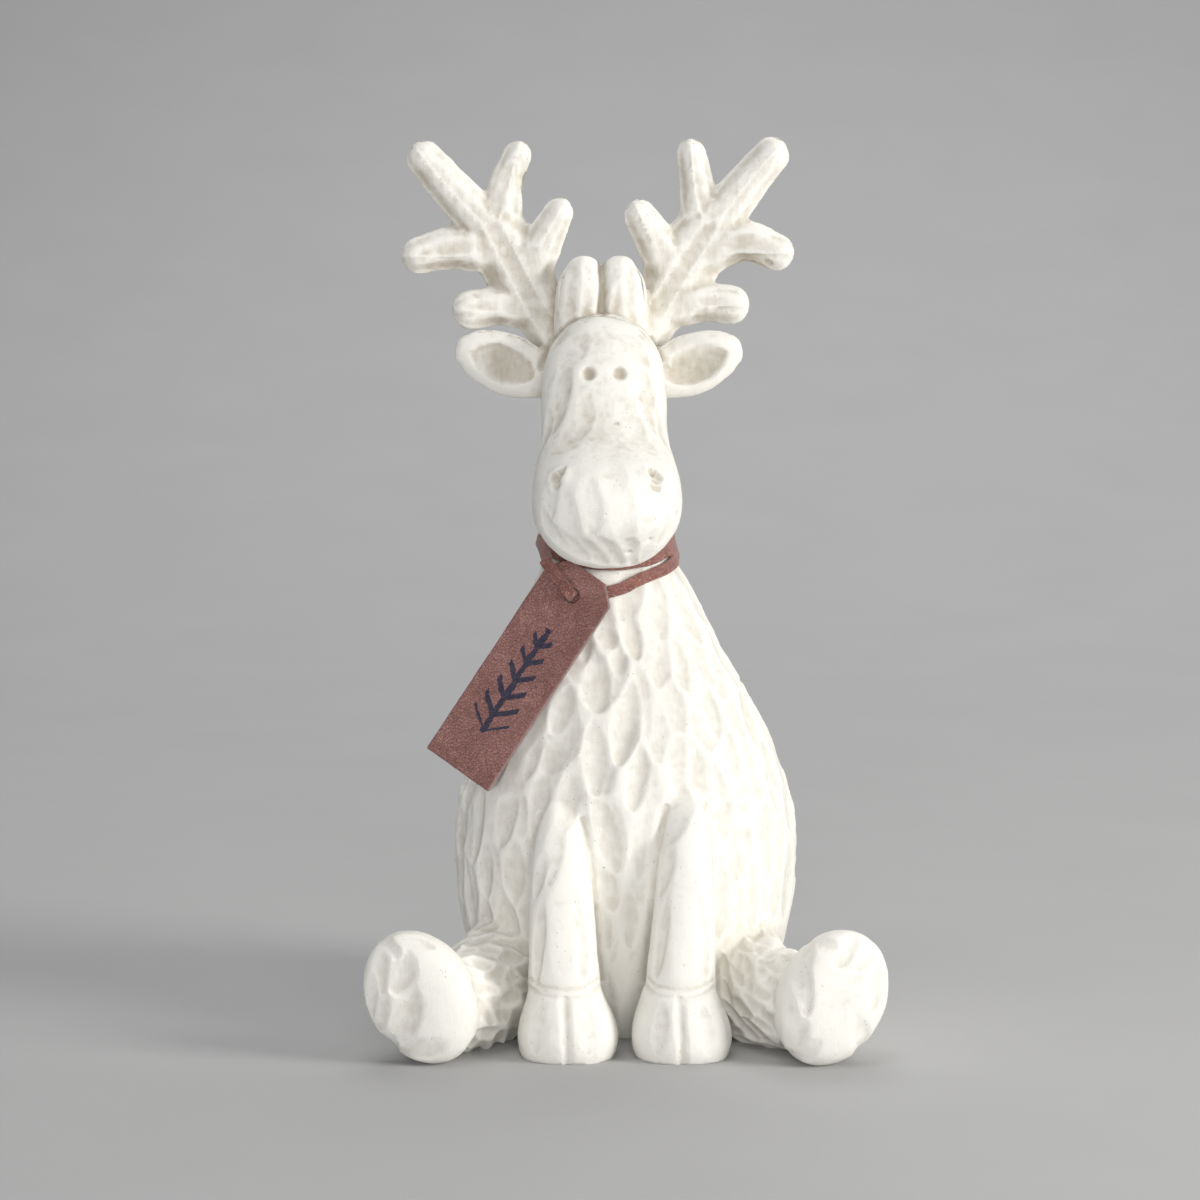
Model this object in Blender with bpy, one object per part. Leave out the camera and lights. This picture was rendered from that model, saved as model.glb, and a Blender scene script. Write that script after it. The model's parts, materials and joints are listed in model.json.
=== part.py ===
"""A seated reindeer figurine, cast in one piece, with a leather tag on a suede lace round its neck.

Metres, +Z up. The figurine faces -Y and stands on Z = 0, with the origin under the middle of its box.
"""

import math
import random

import bmesh
import bpy
import numpy as np
from mathutils import Matrix, Vector
from mathutils.bvhtree import BVHTree

# Driving sizes.
FIGURE_HEIGHT = 0.300
TAG_WIDTH = 0.0265
TAG_LENGTH = 0.0790
TAG_THICKNESS = 0.0022
TAG_CORNER_CUT = 0.0058
TAG_HOLE_TO_TOP = 0.0095
HOLE_CLEARANCE = 0.0005
LACE_WIDTH = 0.0040
LACE_THICKNESS = 0.0015
LACE_END_LENGTH = 0.024
GAP = 0.0003
LACE_ROOM = LACE_THICKNESS + 3 * GAP

# The carving is drawn on a grid of 300 units to the figure's height, x to the viewer's right and y away.
UNIT = FIGURE_HEIGHT / 300.0
VOXEL = 1.5 * UNIT
CAST_TRIANGLES = 7600
RING_SIDES = 40

# Level rings of a form: height, middle x, half width, front y, back y.
BODY_RINGS = [
    (-4, 0.0, 40.0, -36.0, 44.0),
    (0, 0.0, 43.5, -38.5, 46.5),
    (6, 0.0, 47.8, -42.5, 50.5),
    (14, 0.2, 51.2, -46.0, 54.0),
    (26, 0.4, 54.4, -49.0, 57.5),
    (40, 0.5, 57.4, -51.0, 60.0),
    (54, 0.5, 59.0, -51.5, 60.5),
    (67, 0.5, 58.5, -50.5, 58.0),
    (80, 0.3, 56.1, -48.0, 54.0),
    (95, -0.3, 50.9, -44.0, 47.0),
    (109, -1.3, 45.0, -39.5, 39.5),
    (126, -2.3, 36.7, -33.0, 32.5),
    (140, -3.4, 30.4, -28.5, 28.0),
    (147, -4.0, 27.5, -26.3, 26.5),
    (155, -4.8, 23.1, -23.4, 24.8),
    (162, -5.2, 21.0, -21.8, 24.0),
    (172, -6.0, 19.5, -19.8, 24.0),
    (185, -7.0, 19.0, -18.0, 24.5),
    (200, -7.8, 18.5, -14.0, 25.0),
    (215, -8.3, 19.0, -12.0, 25.0),
    (226, -8.5, 18.5, -9.0, 23.0),
    (235, -8.6, 16.0, -6.0, 19.5),
    (241, -8.6, 11.0, -2.0, 14.0),
    (244, -8.6, 5.0, 2.0, 9.0),
]
HEAD_RINGS = [
    (240.3, -7.2, 2.5, -13.0, -7.0),
    (239, -7.2, 7.0, -16.0, -4.0),
    (236.5, -7.2, 11.5, -19.0, 0.0),
    (233, -7.1, 15.0, -22.0, 2.0),
    (228, -7.1, 18.3, -25.5, 4.0),
    (221, -7.0, 20.2, -29.0, 5.0),
    (212, -7.0, 21.0, -32.5, 5.0),
    (205, -6.9, 20.9, -36.0, 4.0),
    (200, -6.7, 21.0, -41.0, 2.0),
    (196, -6.5, 21.7, -48.0, 0.0),
    (192, -6.3, 22.8, -55.0, -4.0),
    (187, -6.1, 24.0, -60.5, -8.0),
    (180, -6.0, 24.7, -63.0, -12.0),
    (173, -6.0, 23.8, -62.5, -17.0),
    (167.5, -6.0, 20.8, -59.0, -24.0),
    (163, -6.0, 16.5, -55.0, -31.0),
    (160, -6.0, 11.5, -51.0, -36.0),
    (158.3, -6.0, 5.0, -47.0, -41.0),
]
HOOF_RINGS = [
    (-2, 0.0, 14.2, -76.5, -50.0),
    (0, 0.0, 15.0, -77.8, -48.0),
    (3, 0.0, 16.1, -79.3, -47.0),
    (7, 0.0, 16.6, -79.8, -46.0),
    (12, -0.2, 15.6, -78.8, -47.0),
    (18, -0.7, 13.2, -76.6, -49.0),
    (22, -1.0, 11.6, -74.6, -50.0),
    (23.4, -1.0, 8.5, -71.5, -53.0),
]
HOOF_MIDDLES = {"right": -18.8, "left": 18.4}

# The muzzle's swell, for the cuts over it: middle and half sizes.
MUZZLE_MIDDLE = (-6.0, -38.0, 179.0)
MUZZLE_HALF = (24.7, 25.0, 21.0)

# Limbs: x, y, z, half width, half depth at each station. The figure's right is on the viewer's left.
EAR = [
    (-22.0, 3.0, 217.5, 5.5, 4.5),
    (-30.0, 2.0, 219.5, 8.4, 4.8),
    (-38.0, 1.0, 222.3, 10.5, 5.0),
    (-46.0, 0.0, 225.4, 9.6, 4.5),
    (-51.5, -0.5, 227.4, 7.6, 3.7),
    (-54.4, -0.8, 228.3, 5.2, 2.8),
]
EAR_MIRROR_X = -8.7
TUFT = [
    (-14.5, 2.0, 234.0, 9.5, 9.0),
    (-14.6, 1.0, 244.0, 8.8, 8.0),
    (-14.4, 1.0, 250.5, 8.0, 6.8),
    (-13.8, 1.5, 255.2, 5.8, 4.6),
]
TUFT_MIRROR_X = -7.8
FORELEGS = {
    "right": [
        (-21.8, -33.0, 84.0, 6.0, 5.5),
        (-21.8, -40.5, 75.0, 8.2, 6.8),
        (-21.5, -48.0, 64.0, 9.6, 8.6),
        (-21.0, -54.5, 50.0, 10.6, 9.8),
        (-20.4, -59.5, 34.0, 11.2, 10.6),
        (-20.0, -61.5, 22.0, 11.7, 11.2),
        (-20.0, -61.5, 12.0, 10.0, 10.2),
    ],
    "left": [
        (20.6, -33.0, 88.0, 5.4, 5.2),
        (20.4, -40.5, 79.0, 7.4, 6.6),
        (19.9, -48.0, 66.0, 9.0, 8.4),
        (19.4, -54.5, 50.0, 10.0, 9.7),
        (18.7, -59.5, 34.0, 10.9, 10.6),
        (18.0, -61.5, 22.0, 11.4, 11.2),
        (18.0, -61.5, 12.0, 10.0, 10.2),
    ],
}
THIGHS = {
    "right": [
        (-32.0, -14.0, 20.0, 24.0, 22.0),
        (-41.0, -30.0, 18.0, 20.5, 18.5),
        (-48.0, -43.0, 17.0, 19.5, 17.0),
        (-55.0, -56.0, 16.5, 18.2, 15.5),
        (-60.0, -64.0, 17.5, 16.0, 14.0),
    ],
    "left": [
        (32.0, -14.0, 19.0, 23.0, 22.0),
        (40.5, -30.0, 17.0, 19.4, 18.0),
        (47.5, -43.0, 16.0, 18.4, 16.5),
        (55.0, -56.0, 16.3, 17.2, 15.0),
        (61.0, -64.0, 17.5, 15.5, 13.5),
    ],
}
# Hind feet: middle, which way the sole faces, half width, half height, half thickness, lean in degrees.
FEET = {
    "right": ((-66.2, -72.5, 21.3), (-0.16, -0.985, 0.05), 17.6, 22.6, 11.5, -30.0),
    "left": ((66.6, -73.5, 21.3), (0.26, -0.96, 0.05), 17.4, 22.9, 11.5, 28.0),
}
# Where the forelegs stand out of the body: up to this height, near these middles.
FORELEG_TOP = 74.0
FORELEG_MIDDLES = (-21.0, 20.0)

TAIL = [
    (0.0, 56.0, 47.0, 7.0, 5.0),
    (0.0, 61.5, 37.0, 7.6, 5.2),
    (0.0, 62.5, 27.0, 4.6, 4.2),
]
ANTLERS = {
    "right": [
        [(-20.0, 9.0, 226.0, 7.5, 7.0), (-26.5, 9.0, 237.0, 8.8, 7.2), (-32.5, 9.5, 247.0, 10.6, 7.2),
         (-37.0, 10.0, 257.0, 12.2, 7.0), (-43.5, 10.0, 267.0, 10.5, 6.8)],
        [(-33.0, 9.0, 241.0, 6.4, 6.5), (-43.0, 8.0, 242.4, 6.6, 6.2), (-52.4, 6.5, 241.0, 6.9, 6.0)],
        [(-42.0, 10.0, 260.5, 8.0, 6.5), (-58.0, 9.0, 262.0, 7.4, 6.2), (-69.9, 7.0, 259.4, 6.3, 5.8)],
        [(-43.0, 10.0, 264.0, 8.8, 6.5), (-55.0, 9.5, 278.0, 7.4, 6.2), (-67.8, 8.0, 292.3, 6.3, 5.8)],
        [(-42.0, 10.0, 268.0, 7.6, 6.3), (-40.2, 11.5, 283.0, 5.9, 5.9), (-36.3, 13.0, 293.2, 4.9, 5.2)],
        [(-34.0, 9.5, 252.0, 8.4, 6.8), (-27.5, 8.5, 264.0, 6.8, 6.3), (-22.3, 7.0, 273.8, 5.2, 5.4)],
    ],
    "left": [
        [(3.0, 9.0, 226.0, 7.5, 7.0), (9.5, 9.0, 237.0, 8.8, 7.2), (15.2, 9.5, 247.0, 10.6, 7.2),
         (20.2, 10.0, 257.0, 12.0, 7.0), (27.0, 10.0, 267.0, 10.5, 6.8)],
        [(16.0, 9.0, 241.0, 6.4, 6.5), (26.5, 8.0, 243.6, 6.6, 6.2), (36.4, 6.5, 242.8, 6.7, 6.0)],
        [(24.0, 10.0, 259.0, 8.0, 6.5), (40.0, 9.0, 264.2, 7.2, 6.2), (51.8, 7.0, 260.4, 6.3, 5.8)],
        [(26.0, 10.0, 264.0, 8.8, 6.5), (38.0, 9.5, 279.5, 7.4, 6.2), (49.9, 8.0, 293.8, 6.2, 5.8)],
        [(25.6, 10.0, 268.0, 7.8, 6.3), (24.6, 11.5, 283.0, 6.0, 5.9), (22.6, 13.0, 293.9, 5.0, 5.2)],
        [(17.0, 9.5, 252.0, 8.4, 6.8), (10.6, 8.5, 264.0, 7.0, 6.3), (5.2, 7.0, 273.2, 5.6, 5.4)],
    ],
}

# The gouge's cuts: the rows' rise and the cuts' spacing round the body, and the rows on the nape.
ROW_RISE = 18.5
CUT_SPACING = 11.0
NAPE_ROWS = (186.0, 207.0, 227.0)

# Where the tag hangs: x and z of its hole, the way its face looks and the way its length runs down.
TAG_HOLE_AT = (-17.1, 147.0)
TAG_FACES = (-0.30, -0.92, 0.25)
TAG_RUNS_DOWN = (-0.535, -0.845)

# The lace's ring: middle, and how much it rises from the throat to the nape for each unit of depth.
RING_MIDDLE = (-5.2, 1.0, 162.5)
RING_SLOPE = 0.32

# How the lace runs over the tag's face towards the hole, and behind the tag away from it: across and up.
LACE_COMES_IN = (0.95, -0.31)
LACE_GOES_OUT = (0.98, 0.20)


def scaled(points):
    """Grid points as metres."""
    return np.asarray(points, float) * UNIT


def curve_through(stations, steps):
    """The stations again with a smooth curve's points between them."""
    rows = np.asarray(stations, float)
    padded = np.vstack([2 * rows[0] - rows[1], rows, 2 * rows[-1] - rows[-2]])
    found = []
    for i in range(len(rows) - 1):
        p0, p1, p2, p3 = padded[i : i + 4]
        for t in np.arange(steps) / steps:
            a = 2 * p1
            b = (p2 - p0) * t
            c = (2 * p0 - 5 * p1 + 4 * p2 - p3) * t**2
            d = (3 * p1 - p0 - 3 * p2 + p3) * t**3
            found.append((a + b + c + d) / 2)
    found.append(rows[-1])
    return np.array(found)


def mesh_object(name, mesh):
    """A new object that shows this mesh."""
    made = bpy.data.objects.new(name, mesh)
    bpy.context.scene.collection.objects.link(made)
    return made


def skin(name, rings):
    """A closed form through rings of as many points each, with a fan at both ends."""
    bm = bmesh.new()
    loops = [[bm.verts.new(p) for p in ring] for ring in rings]
    sides = len(loops[0])
    for low, high in zip(loops, loops[1:]):
        for i in range(sides):
            j = (i + 1) % sides
            bm.faces.new((low[i], low[j], high[j], high[i]))
    for ring in (loops[0], loops[-1]):
        middle = bm.verts.new(sum((v.co for v in ring), Vector()) / sides)
        for i in range(sides):
            bm.faces.new((ring[i], ring[(i + 1) % sides], middle))
    bmesh.ops.recalc_face_normals(bm, faces=bm.faces)
    mesh = bpy.data.meshes.new(name)
    bm.to_mesh(mesh)
    bm.free()
    return mesh_object(name, mesh)


def level_form(name, stations, shift=0.0, power=2.0, steps=3):
    """A form of level rings, each rounder or squarer by its power."""
    angles = np.linspace(0, 2 * math.pi, RING_SIDES, endpoint=False)
    across = np.sign(np.cos(angles)) * np.abs(np.cos(angles)) ** (2 / power)
    along = np.sign(np.sin(angles)) * np.abs(np.sin(angles)) ** (2 / power)
    rings = []
    for z, x, half, front, back in curve_through(stations, steps):
        y = (front + back) / 2
        deep = (back - front) / 2
        ring = np.column_stack([x + shift + half * across, y + deep * along, np.full(RING_SIDES, z)])
        rings.append(scaled(ring))
    return skin(name, rings)


def limb(name, stations, flats=0, steps=4, dome_steps=4):
    """A form along a path with domed ends. With flats it looks whittled."""
    rows = curve_through(stations, steps)
    tangents = np.gradient(rows[:, :3], axis=0)
    tangents /= np.linalg.norm(tangents, axis=1)[:, None]
    angles = np.linspace(0, 2 * math.pi, RING_SIDES // 2, endpoint=False)
    reach = np.ones(len(angles))
    if flats:
        step = 2 * math.pi / flats
        polygon = math.cos(step / 2) / np.cos(np.mod(angles, step) - step / 2)
        reach = 0.25 + 0.75 * polygon * 1.06
    rings = []

    turns = [math.pi / 2 * k / dome_steps for k in range(1, dome_steps)]
    places = [(rows[0], tangents[0], -turn) for turn in reversed(turns)]
    places += [(row, tangent, 0.0) for row, tangent in zip(rows, tangents)]
    places += [(rows[-1], tangents[-1], turn) for turn in turns]
    for row, tangent, turn in places:
        side = np.cross(tangent, (0, 1, 0))
        side /= np.linalg.norm(side)
        half, deep = row[3:] * math.cos(turn)
        ring = row[:3] + tangent * math.sin(turn) * row[4]
        ring = ring + (np.cos(angles) * reach * half)[:, None] * side
        rings.append(scaled(ring + (np.sin(angles) * reach * deep)[:, None] * np.cross(side, tangent)))
    return skin(name, rings)


def rounded_block(name, middle, axes, halves, power, steps=9):
    """A cushion-shaped form: rings along the third axis that draw in by a power curve at both ends."""
    angles = np.linspace(0, 2 * math.pi, RING_SIDES, endpoint=False)
    first, second, third = (np.asarray(a, float) for a in axes)
    rings = []
    for turn in np.linspace(-math.pi / 2, math.pi / 2, 2 * steps + 1)[1:-1]:
        along = math.copysign(abs(math.sin(turn)) ** (2 / power), math.sin(turn))
        size = math.cos(turn) ** (2 / power)
        ring = np.asarray(middle, float) + third * halves[2] * along
        ring = ring + (np.cos(angles) * halves[0] * size)[:, None] * first
        rings.append(scaled(ring + (np.sin(angles) * halves[1] * size)[:, None] * second))
    return skin(name, rings)


def mirrored(stations, plane_x):
    """The stations on the other side of an upright plane."""
    return [(2 * plane_x - x, y, z, half, deep) for x, y, z, half, deep in stations]


def hind_foot(side):
    """The pad of a hind foot, with its axes across, up and out of the sole."""
    middle, faces, half, high, thick, lean = FEET[side]
    out = Vector(faces).normalized()
    across = Vector((0, 0, 1)).cross(-out).normalized()
    up = (-out).cross(across)
    turn = Matrix.Rotation(math.radians(lean), 3, -out)
    return rounded_block("foot", middle, (turn @ across, turn @ -up, out), (half, high, thick), 2.9)


def rough_forms():
    """Every form of the figurine, each closed and overlapping its neighbours."""
    forms = [
        level_form("body", BODY_RINGS, power=2.1),
        level_form("head", HEAD_RINGS, power=2.35),
        limb("ear", EAR),
        limb("ear", mirrored(EAR, EAR_MIRROR_X)),
        limb("tuft", TUFT),
        limb("tuft", mirrored(TUFT, TUFT_MIRROR_X)),
        limb("tail", TAIL),
    ]
    for side in ("right", "left"):
        forms.append(limb("foreleg", FORELEGS[side]))
        forms.append(limb("thigh", THIGHS[side]))
        forms.append(level_form("hoof", HOOF_RINGS, shift=HOOF_MIDDLES[side], power=2.2))
        forms.append(hind_foot(side))
        forms += [limb("tine", tine, flats=6) for tine in ANTLERS[side]]
    return forms


def applied(obj, name):
    """The object's shape with its modifiers applied, as a mesh of its own."""
    graph = bpy.context.evaluated_depsgraph_get()
    mesh = bpy.data.meshes.new_from_object(obj.evaluated_get(graph))
    mesh.name = name
    return mesh


def joined(forms):
    """The forms as one object."""
    bm = bmesh.new()
    for form in forms:
        bm.from_mesh(form.data)
        bpy.data.objects.remove(form)
    mesh = bpy.data.meshes.new("rough")
    bm.to_mesh(mesh)
    bm.free()
    return mesh_object("rough", mesh)


def fused(forms):
    """One skin over all the forms, with its inner corners softened."""
    rough = joined(forms)
    remesh = rough.modifiers.new("one skin", "REMESH")
    remesh.mode = "VOXEL"
    remesh.voxel_size = VOXEL
    soften = rough.modifiers.new("soften", "SMOOTH")
    soften.factor = 0.5
    soften.iterations = 3
    mesh = applied(rough, "cast_reindeer")
    bpy.data.objects.remove(rough)
    return mesh


def ring_at(height):
    """Middle x, half width, middle y and half depth of the body at a height."""
    rings = np.array(BODY_RINGS, float)
    x, half, front, back = (np.interp(height, rings[:, 0], rings[:, k]) for k in range(1, 5))
    return x, half, (front + back) / 2, (back - front) / 2


def body_point(angle, height):
    """A point on the body and the way its surface faces. Angle 0 is the back and 90 degrees is -x."""
    x, half, y, deep = ring_at(height)
    point = np.array([x - half * math.sin(angle), y + deep * math.cos(angle), height])
    above = ring_at(height + 2)[1]
    below = ring_at(height - 2)[1]
    slope = (below - above) / 4
    out = np.array([-math.sin(angle) / half, math.cos(angle) / deep, 0.0])
    out /= np.linalg.norm(out)
    out[2] = slope
    return point, out / np.linalg.norm(out)


def scoop(middle, out, along, half_long, half_wide, depth):
    """One cut of the gouge: an almond hollow at a point of the surface."""
    out = np.asarray(out, float) / np.linalg.norm(out)
    along = np.asarray(along, float) - out * np.dot(along, out)
    along /= np.linalg.norm(along)
    return np.asarray(middle, float), out, along, np.cross(out, along), half_long, half_wide, depth


def on_a_foreleg(point):
    aside = min(abs(point[0] - middle) for middle in FORELEG_MIDDLES)
    return point[1] < -30 and point[2] < FORELEG_TOP and aside < 12.5


def by_a_thigh(point):
    return point[1] < 2 and point[2] < 40 and abs(point[0]) > 30


def body_scoops():
    """Staggered rows of upright cuts round the body, as feathers lie."""
    dice = random.Random(7)
    found = []
    for row, height in enumerate(np.arange(15.0, 150.0, ROW_RISE)):
        half, deep = ring_at(height)[1::2]
        count = max(12, round(math.pi * (half + deep) / CUT_SPACING))
        for k in range(count):
            angle = 2 * math.pi * (k + 0.5 * (row % 2) + dice.uniform(-0.14, 0.14)) / count
            point, out = body_point(angle, height + dice.uniform(-3.5, 3.5))
            lean = dice.uniform(-0.16, 0.16)
            long, wide, depth = dice.uniform(10.5, 14.0), dice.uniform(5.0, 6.8), dice.uniform(1.2, 2.0)
            if not on_a_foreleg(point) and not by_a_thigh(point):
                sideways = np.cross(out, (0, 0, 1))
                found.append(scoop(point, out, np.array((0, 0, 1)) + lean * sideways, long, wide, depth))
    return found


def nape_scoops():
    """Long cuts down the back of the head and neck."""
    found = []
    for row, height in enumerate(NAPE_ROWS):
        for k in range(-4, 5):
            point, out = body_point(math.radians(19 * (k + 0.5 * (row % 2))), height)
            found.append(scoop(point, out, (0, 0, 1), 14.0, 4.2, 1.1))
    return found


def muzzle_scoops():
    """Broad shallow cuts over the front and sides of the muzzle."""
    found = []
    middle = np.array(MUZZLE_MIDDLE)
    for row, rise in enumerate((34, 4, -26, -54)):
        for k in range(-3, 4):
            turn = math.radians(27 * (k + 0.5 * (row % 2)))
            lift = math.radians(rise)
            level = math.cos(lift)
            out = np.array([math.sin(turn) * level, -math.cos(turn) * level, math.sin(lift)])
            point = middle + out * np.array(MUZZLE_HALF)
            found.append(scoop(point, out, (0, 0.3, 1), 9.0, 5.0, 0.75))
    return found


def thigh_scoops(side):
    """Short cuts along a thigh."""
    found = []
    rows = curve_through(THIGHS[side][1:], 3)
    for station in range(1, len(rows) - 1, 2):
        row = rows[station]
        along = rows[station + 1, :3] - rows[station - 1, :3]
        along /= np.linalg.norm(along)
        first = np.cross(along, (0, 1, 0))
        first /= np.linalg.norm(first)
        second = np.cross(first, along)
        for k in range(9):
            turn = 2 * math.pi * (k + 0.5 * (station // 2 % 2)) / 9
            out = math.cos(turn) * first + math.sin(turn) * second
            point = row[:3] + math.cos(turn) * first * row[3] + math.sin(turn) * second * row[4]
            found.append(scoop(point, out, along, 7.0, 5.2, 1.1))
    return found


def sole_scoops(side):
    """Cuts round the outer rim of a sole."""
    middle, faces, half, high, thick, lean = FEET[side]
    outward = math.copysign(1.0, middle[0])
    found = []
    for degrees in (-65, -35, -5, 25, 55, 82):
        turn = math.radians(degrees)
        rim = np.array([outward * math.cos(turn) * half, 0.0, math.sin(turn) * high])
        rim[0] += math.tan(math.radians(abs(lean))) * rim[2] * 0.6 * outward
        point = np.array(middle) + 0.74 * rim + np.array(faces) * thick * 0.93
        out = np.array(faces) + 0.35 * rim / high
        found.append(scoop(point, out, (-outward * math.sin(turn), 0, math.cos(turn)), 8.5, 5.0, 1.1))
    return found


def ear_hollow(mirror):
    """The hollow in the front of an ear."""
    middle = np.array([-42.5, -4.5, 224.0])
    along = np.array([0.93, 0.0, 0.34])
    if mirror:
        middle[0] = 2 * EAR_MIRROR_X - middle[0]
        along[0] = -along[0]
    return scoop(middle, (0, -1, 0), along, 12.5, 7.2, 4.6)


def carved(mesh, scoops):
    """Presses the scoops into the skin. Where two meet, the deeper one wins and leaves a ridge."""
    count = len(mesh.vertices)
    points = np.empty(count * 3, np.float32)
    mesh.vertices.foreach_get("co", points)
    points = points.reshape(-1, 3).astype(float) / UNIT
    facing = np.array([n.vector for n in mesh.vertex_normals], float)
    deepest = np.zeros(count)
    inward = np.zeros((count, 3))
    for middle, out, along, across, half_long, half_wide, depth in scoops:
        away = points - middle
        near = np.flatnonzero(np.abs(away @ out) < 0.5 * half_long)
        away = away[near]
        left = 1 - (away @ along / half_long) ** 2 - (away @ across / half_wide) ** 2
        left *= facing[near] @ out > 0.25
        cut = depth * np.clip(left, 0, None)
        better = cut > deepest[near]
        deepest[near[better]] = cut[better]
        inward[near[better]] = -out
    moved = (points + inward * deepest[:, None]) * UNIT
    mesh.vertices.foreach_set("co", moved.astype(np.float32).ravel())
    mesh.update()


def grooved(mesh, grooves):
    """Presses grooves into the skin: each a line of points with a half width, a depth and a way out."""
    points = np.array([v.co for v in mesh.vertices], float) / UNIT
    facing = np.array([n.vector for n in mesh.vertex_normals], float)
    for line, half, depth, out in grooves:
        line = np.asarray(line, float)
        out = np.asarray(out, float) / np.linalg.norm(out)
        nearest = np.full(len(points), np.inf)
        for a, b in zip(line, line[1:]):
            run = b - a
            share = np.clip((points - a) @ run / (run @ run), 0, 1)
            off = points - a - share[:, None] * run
            flat = off - (off @ out)[:, None] * out
            away = np.where(np.abs(off @ out) < 7, np.linalg.norm(flat, axis=1), np.inf)
            nearest = np.minimum(nearest, away)
        cut = depth * np.clip(1 - (nearest / half) ** 2, 0, None) * (facing @ out > 0.1)
        points -= cut[:, None] * out
    mesh.vertices.foreach_set("co", (points * UNIT).astype(np.float32).ravel())
    mesh.update()


def figure_grooves():
    """The parting of the forelock, the clefts and coronets of the hooves, the eyes and the nostrils."""
    found = [([(-7.8, -8, 241), (-7.8, -4, 262)], 2.2, 2.6, (0, -1, 0.1))]
    for middle in HOOF_MIDDLES.values():
        found.append(([(middle + 0.3, -80, 0), (middle - 0.5, -76, 23)], 1.6, 1.7, (0, -1, 0)))
        turns = np.linspace(-1.4, 1.4, 9)
        ring = [(middle - 1 + 13 * math.sin(turn), -61.5 - 13 * math.cos(turn), 23.2) for turn in turns]
        for a, b in zip(ring, ring[1:]):
            out = ((a[0] + b[0]) / 2 - middle + 1, (a[1] + b[1]) / 2 + 61.5, 0)
            found.append(([a, b], 1.5, 0.8, out))
    for x in (-12.0, -1.8):
        found.append(([(x, -29, 221.2), (x, -29, 221.3)], 2.4, 2.2, (0, -1, 0.2)))
    for x, lean in ((-22.3, -0.55), (10.0, 0.55)):
        found.append(([(x, -57, 191.5), (x + lean * 2, -57, 188)], 2.4, 1.8, (lean, -1, 0.3)))
    return found


def cut_flat(mesh):
    """Cuts the form off level at the floor and closes the underside."""
    bm = bmesh.new()
    bm.from_mesh(mesh)
    everything = bm.verts[:] + bm.edges[:] + bm.faces[:]
    bmesh.ops.bisect_plane(
        bm, geom=everything, plane_co=(0, 0, 0), plane_no=(0, 0, 1), clear_inner=True, dist=1e-6
    )
    rim = [edge for edge in bm.edges if edge.is_boundary]
    bmesh.ops.holes_fill(bm, edges=rim, sides=0)
    bmesh.ops.recalc_face_normals(bm, faces=bm.faces)
    bm.to_mesh(mesh)
    bm.free()


def cast_reindeer():
    """The whole figurine in one solid, carved and then thinned to few faces."""
    mesh = fused(rough_forms())
    scoops = body_scoops() + nape_scoops() + muzzle_scoops()
    for side in ("right", "left"):
        scoops += thigh_scoops(side) + sole_scoops(side)
    scoops += [ear_hollow(False), ear_hollow(True)]
    carved(mesh, scoops)
    grooved(mesh, figure_grooves())
    whole = mesh_object("cast_reindeer_full", mesh)
    thin = whole.modifiers.new("few faces", "DECIMATE")
    thin.ratio = CAST_TRIANGLES / (2 * len(mesh.polygons))
    thin.use_collapse_triangulate = True
    thinned = applied(whole, "cast_reindeer")
    bpy.data.objects.remove(whole)
    cut_flat(thinned)
    return mesh_object("cast_reindeer", thinned)


def carved_surface(cast):
    """The carved surface, to be asked where a ray meets it."""
    bm = bmesh.new()
    bm.from_mesh(cast.data)
    tree = BVHTree.FromBMesh(bm)
    bm.free()
    return tree


def ring_spot(surface, angle, offset):
    """A point of the neck on the lace's ring, moved up the neck by offset. Angle 0 is the nape."""
    rise = Vector((0, -RING_SLOPE, 1)).normalized()
    start = Vector(RING_MIDDLE) * UNIT + rise * offset
    way = Vector((-math.sin(angle), math.cos(angle), RING_SLOPE * math.cos(angle)))
    return surface.ray_cast(start, way.normalized())[0]


def on_neck(surface, angle, offset, thickness=None, reach=1.0):
    """Middle and outward way of the lace where it lies on the neck, over the ridges of the carving."""
    thickness = thickness or LACE_THICKNESS
    base = ring_spot(surface, angle, offset)
    out = Vector(body_point(angle, base.z / UNIT)[1])
    ridge = 0.0
    for degrees in (-6, -3, 0, 3, 6):
        turned = angle + math.radians(degrees * reach)
        for share in (-0.5, -0.25, 0, 0.25, 0.5):
            near = ring_spot(surface, turned, offset + share * reach * LACE_WIDTH)
            ridge = max(ridge, (near - base).dot(out))
    return base + out * (ridge + GAP + thickness / 2), out


def tag_frame(surface):
    """Axes of the tag, across, up its length and out of its face, and the middle of its hole's back rim."""
    out = Vector(TAG_FACES).normalized()
    down = Vector((TAG_RUNS_DOWN[0], 0, TAG_RUNS_DOWN[1]))
    up = -(down - out * down.dot(out)).normalized()
    across = up.cross(out)
    hole = Vector((TAG_HOLE_AT[0], 0, TAG_HOLE_AT[1])) * UNIT
    forward = Vector((0, -1, 0))
    nearest = math.inf
    for u in np.linspace(-TAG_WIDTH / 2, TAG_WIDTH / 2, 13):
        for v in np.linspace(TAG_HOLE_TO_TOP - TAG_LENGTH, TAG_HOLE_TO_TOP, 37):
            place = hole + across * u + up * v
            chest = surface.ray_cast(Vector((place.x, 0, place.z)), forward)[0]
            if chest is not None:
                room = LACE_ROOM if v > -TAG_WIDTH / 2 else GAP
                nearest = min(nearest, chest.y + room / out.y - place.y)
    return Matrix((across, up, out)).transposed(), hole - forward * nearest


def tag_outline():
    """The tag's outline round its hole's middle, the upper corners cut off."""
    half = TAG_WIDTH / 2
    top = TAG_HOLE_TO_TOP
    return [
        (-half, top - TAG_LENGTH),
        (half, top - TAG_LENGTH),
        (half, top - TAG_CORNER_CUT),
        (half - TAG_CORNER_CUT, top),
        (TAG_CORNER_CUT - half, top),
        (-half, top - TAG_CORNER_CUT),
    ]


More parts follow.
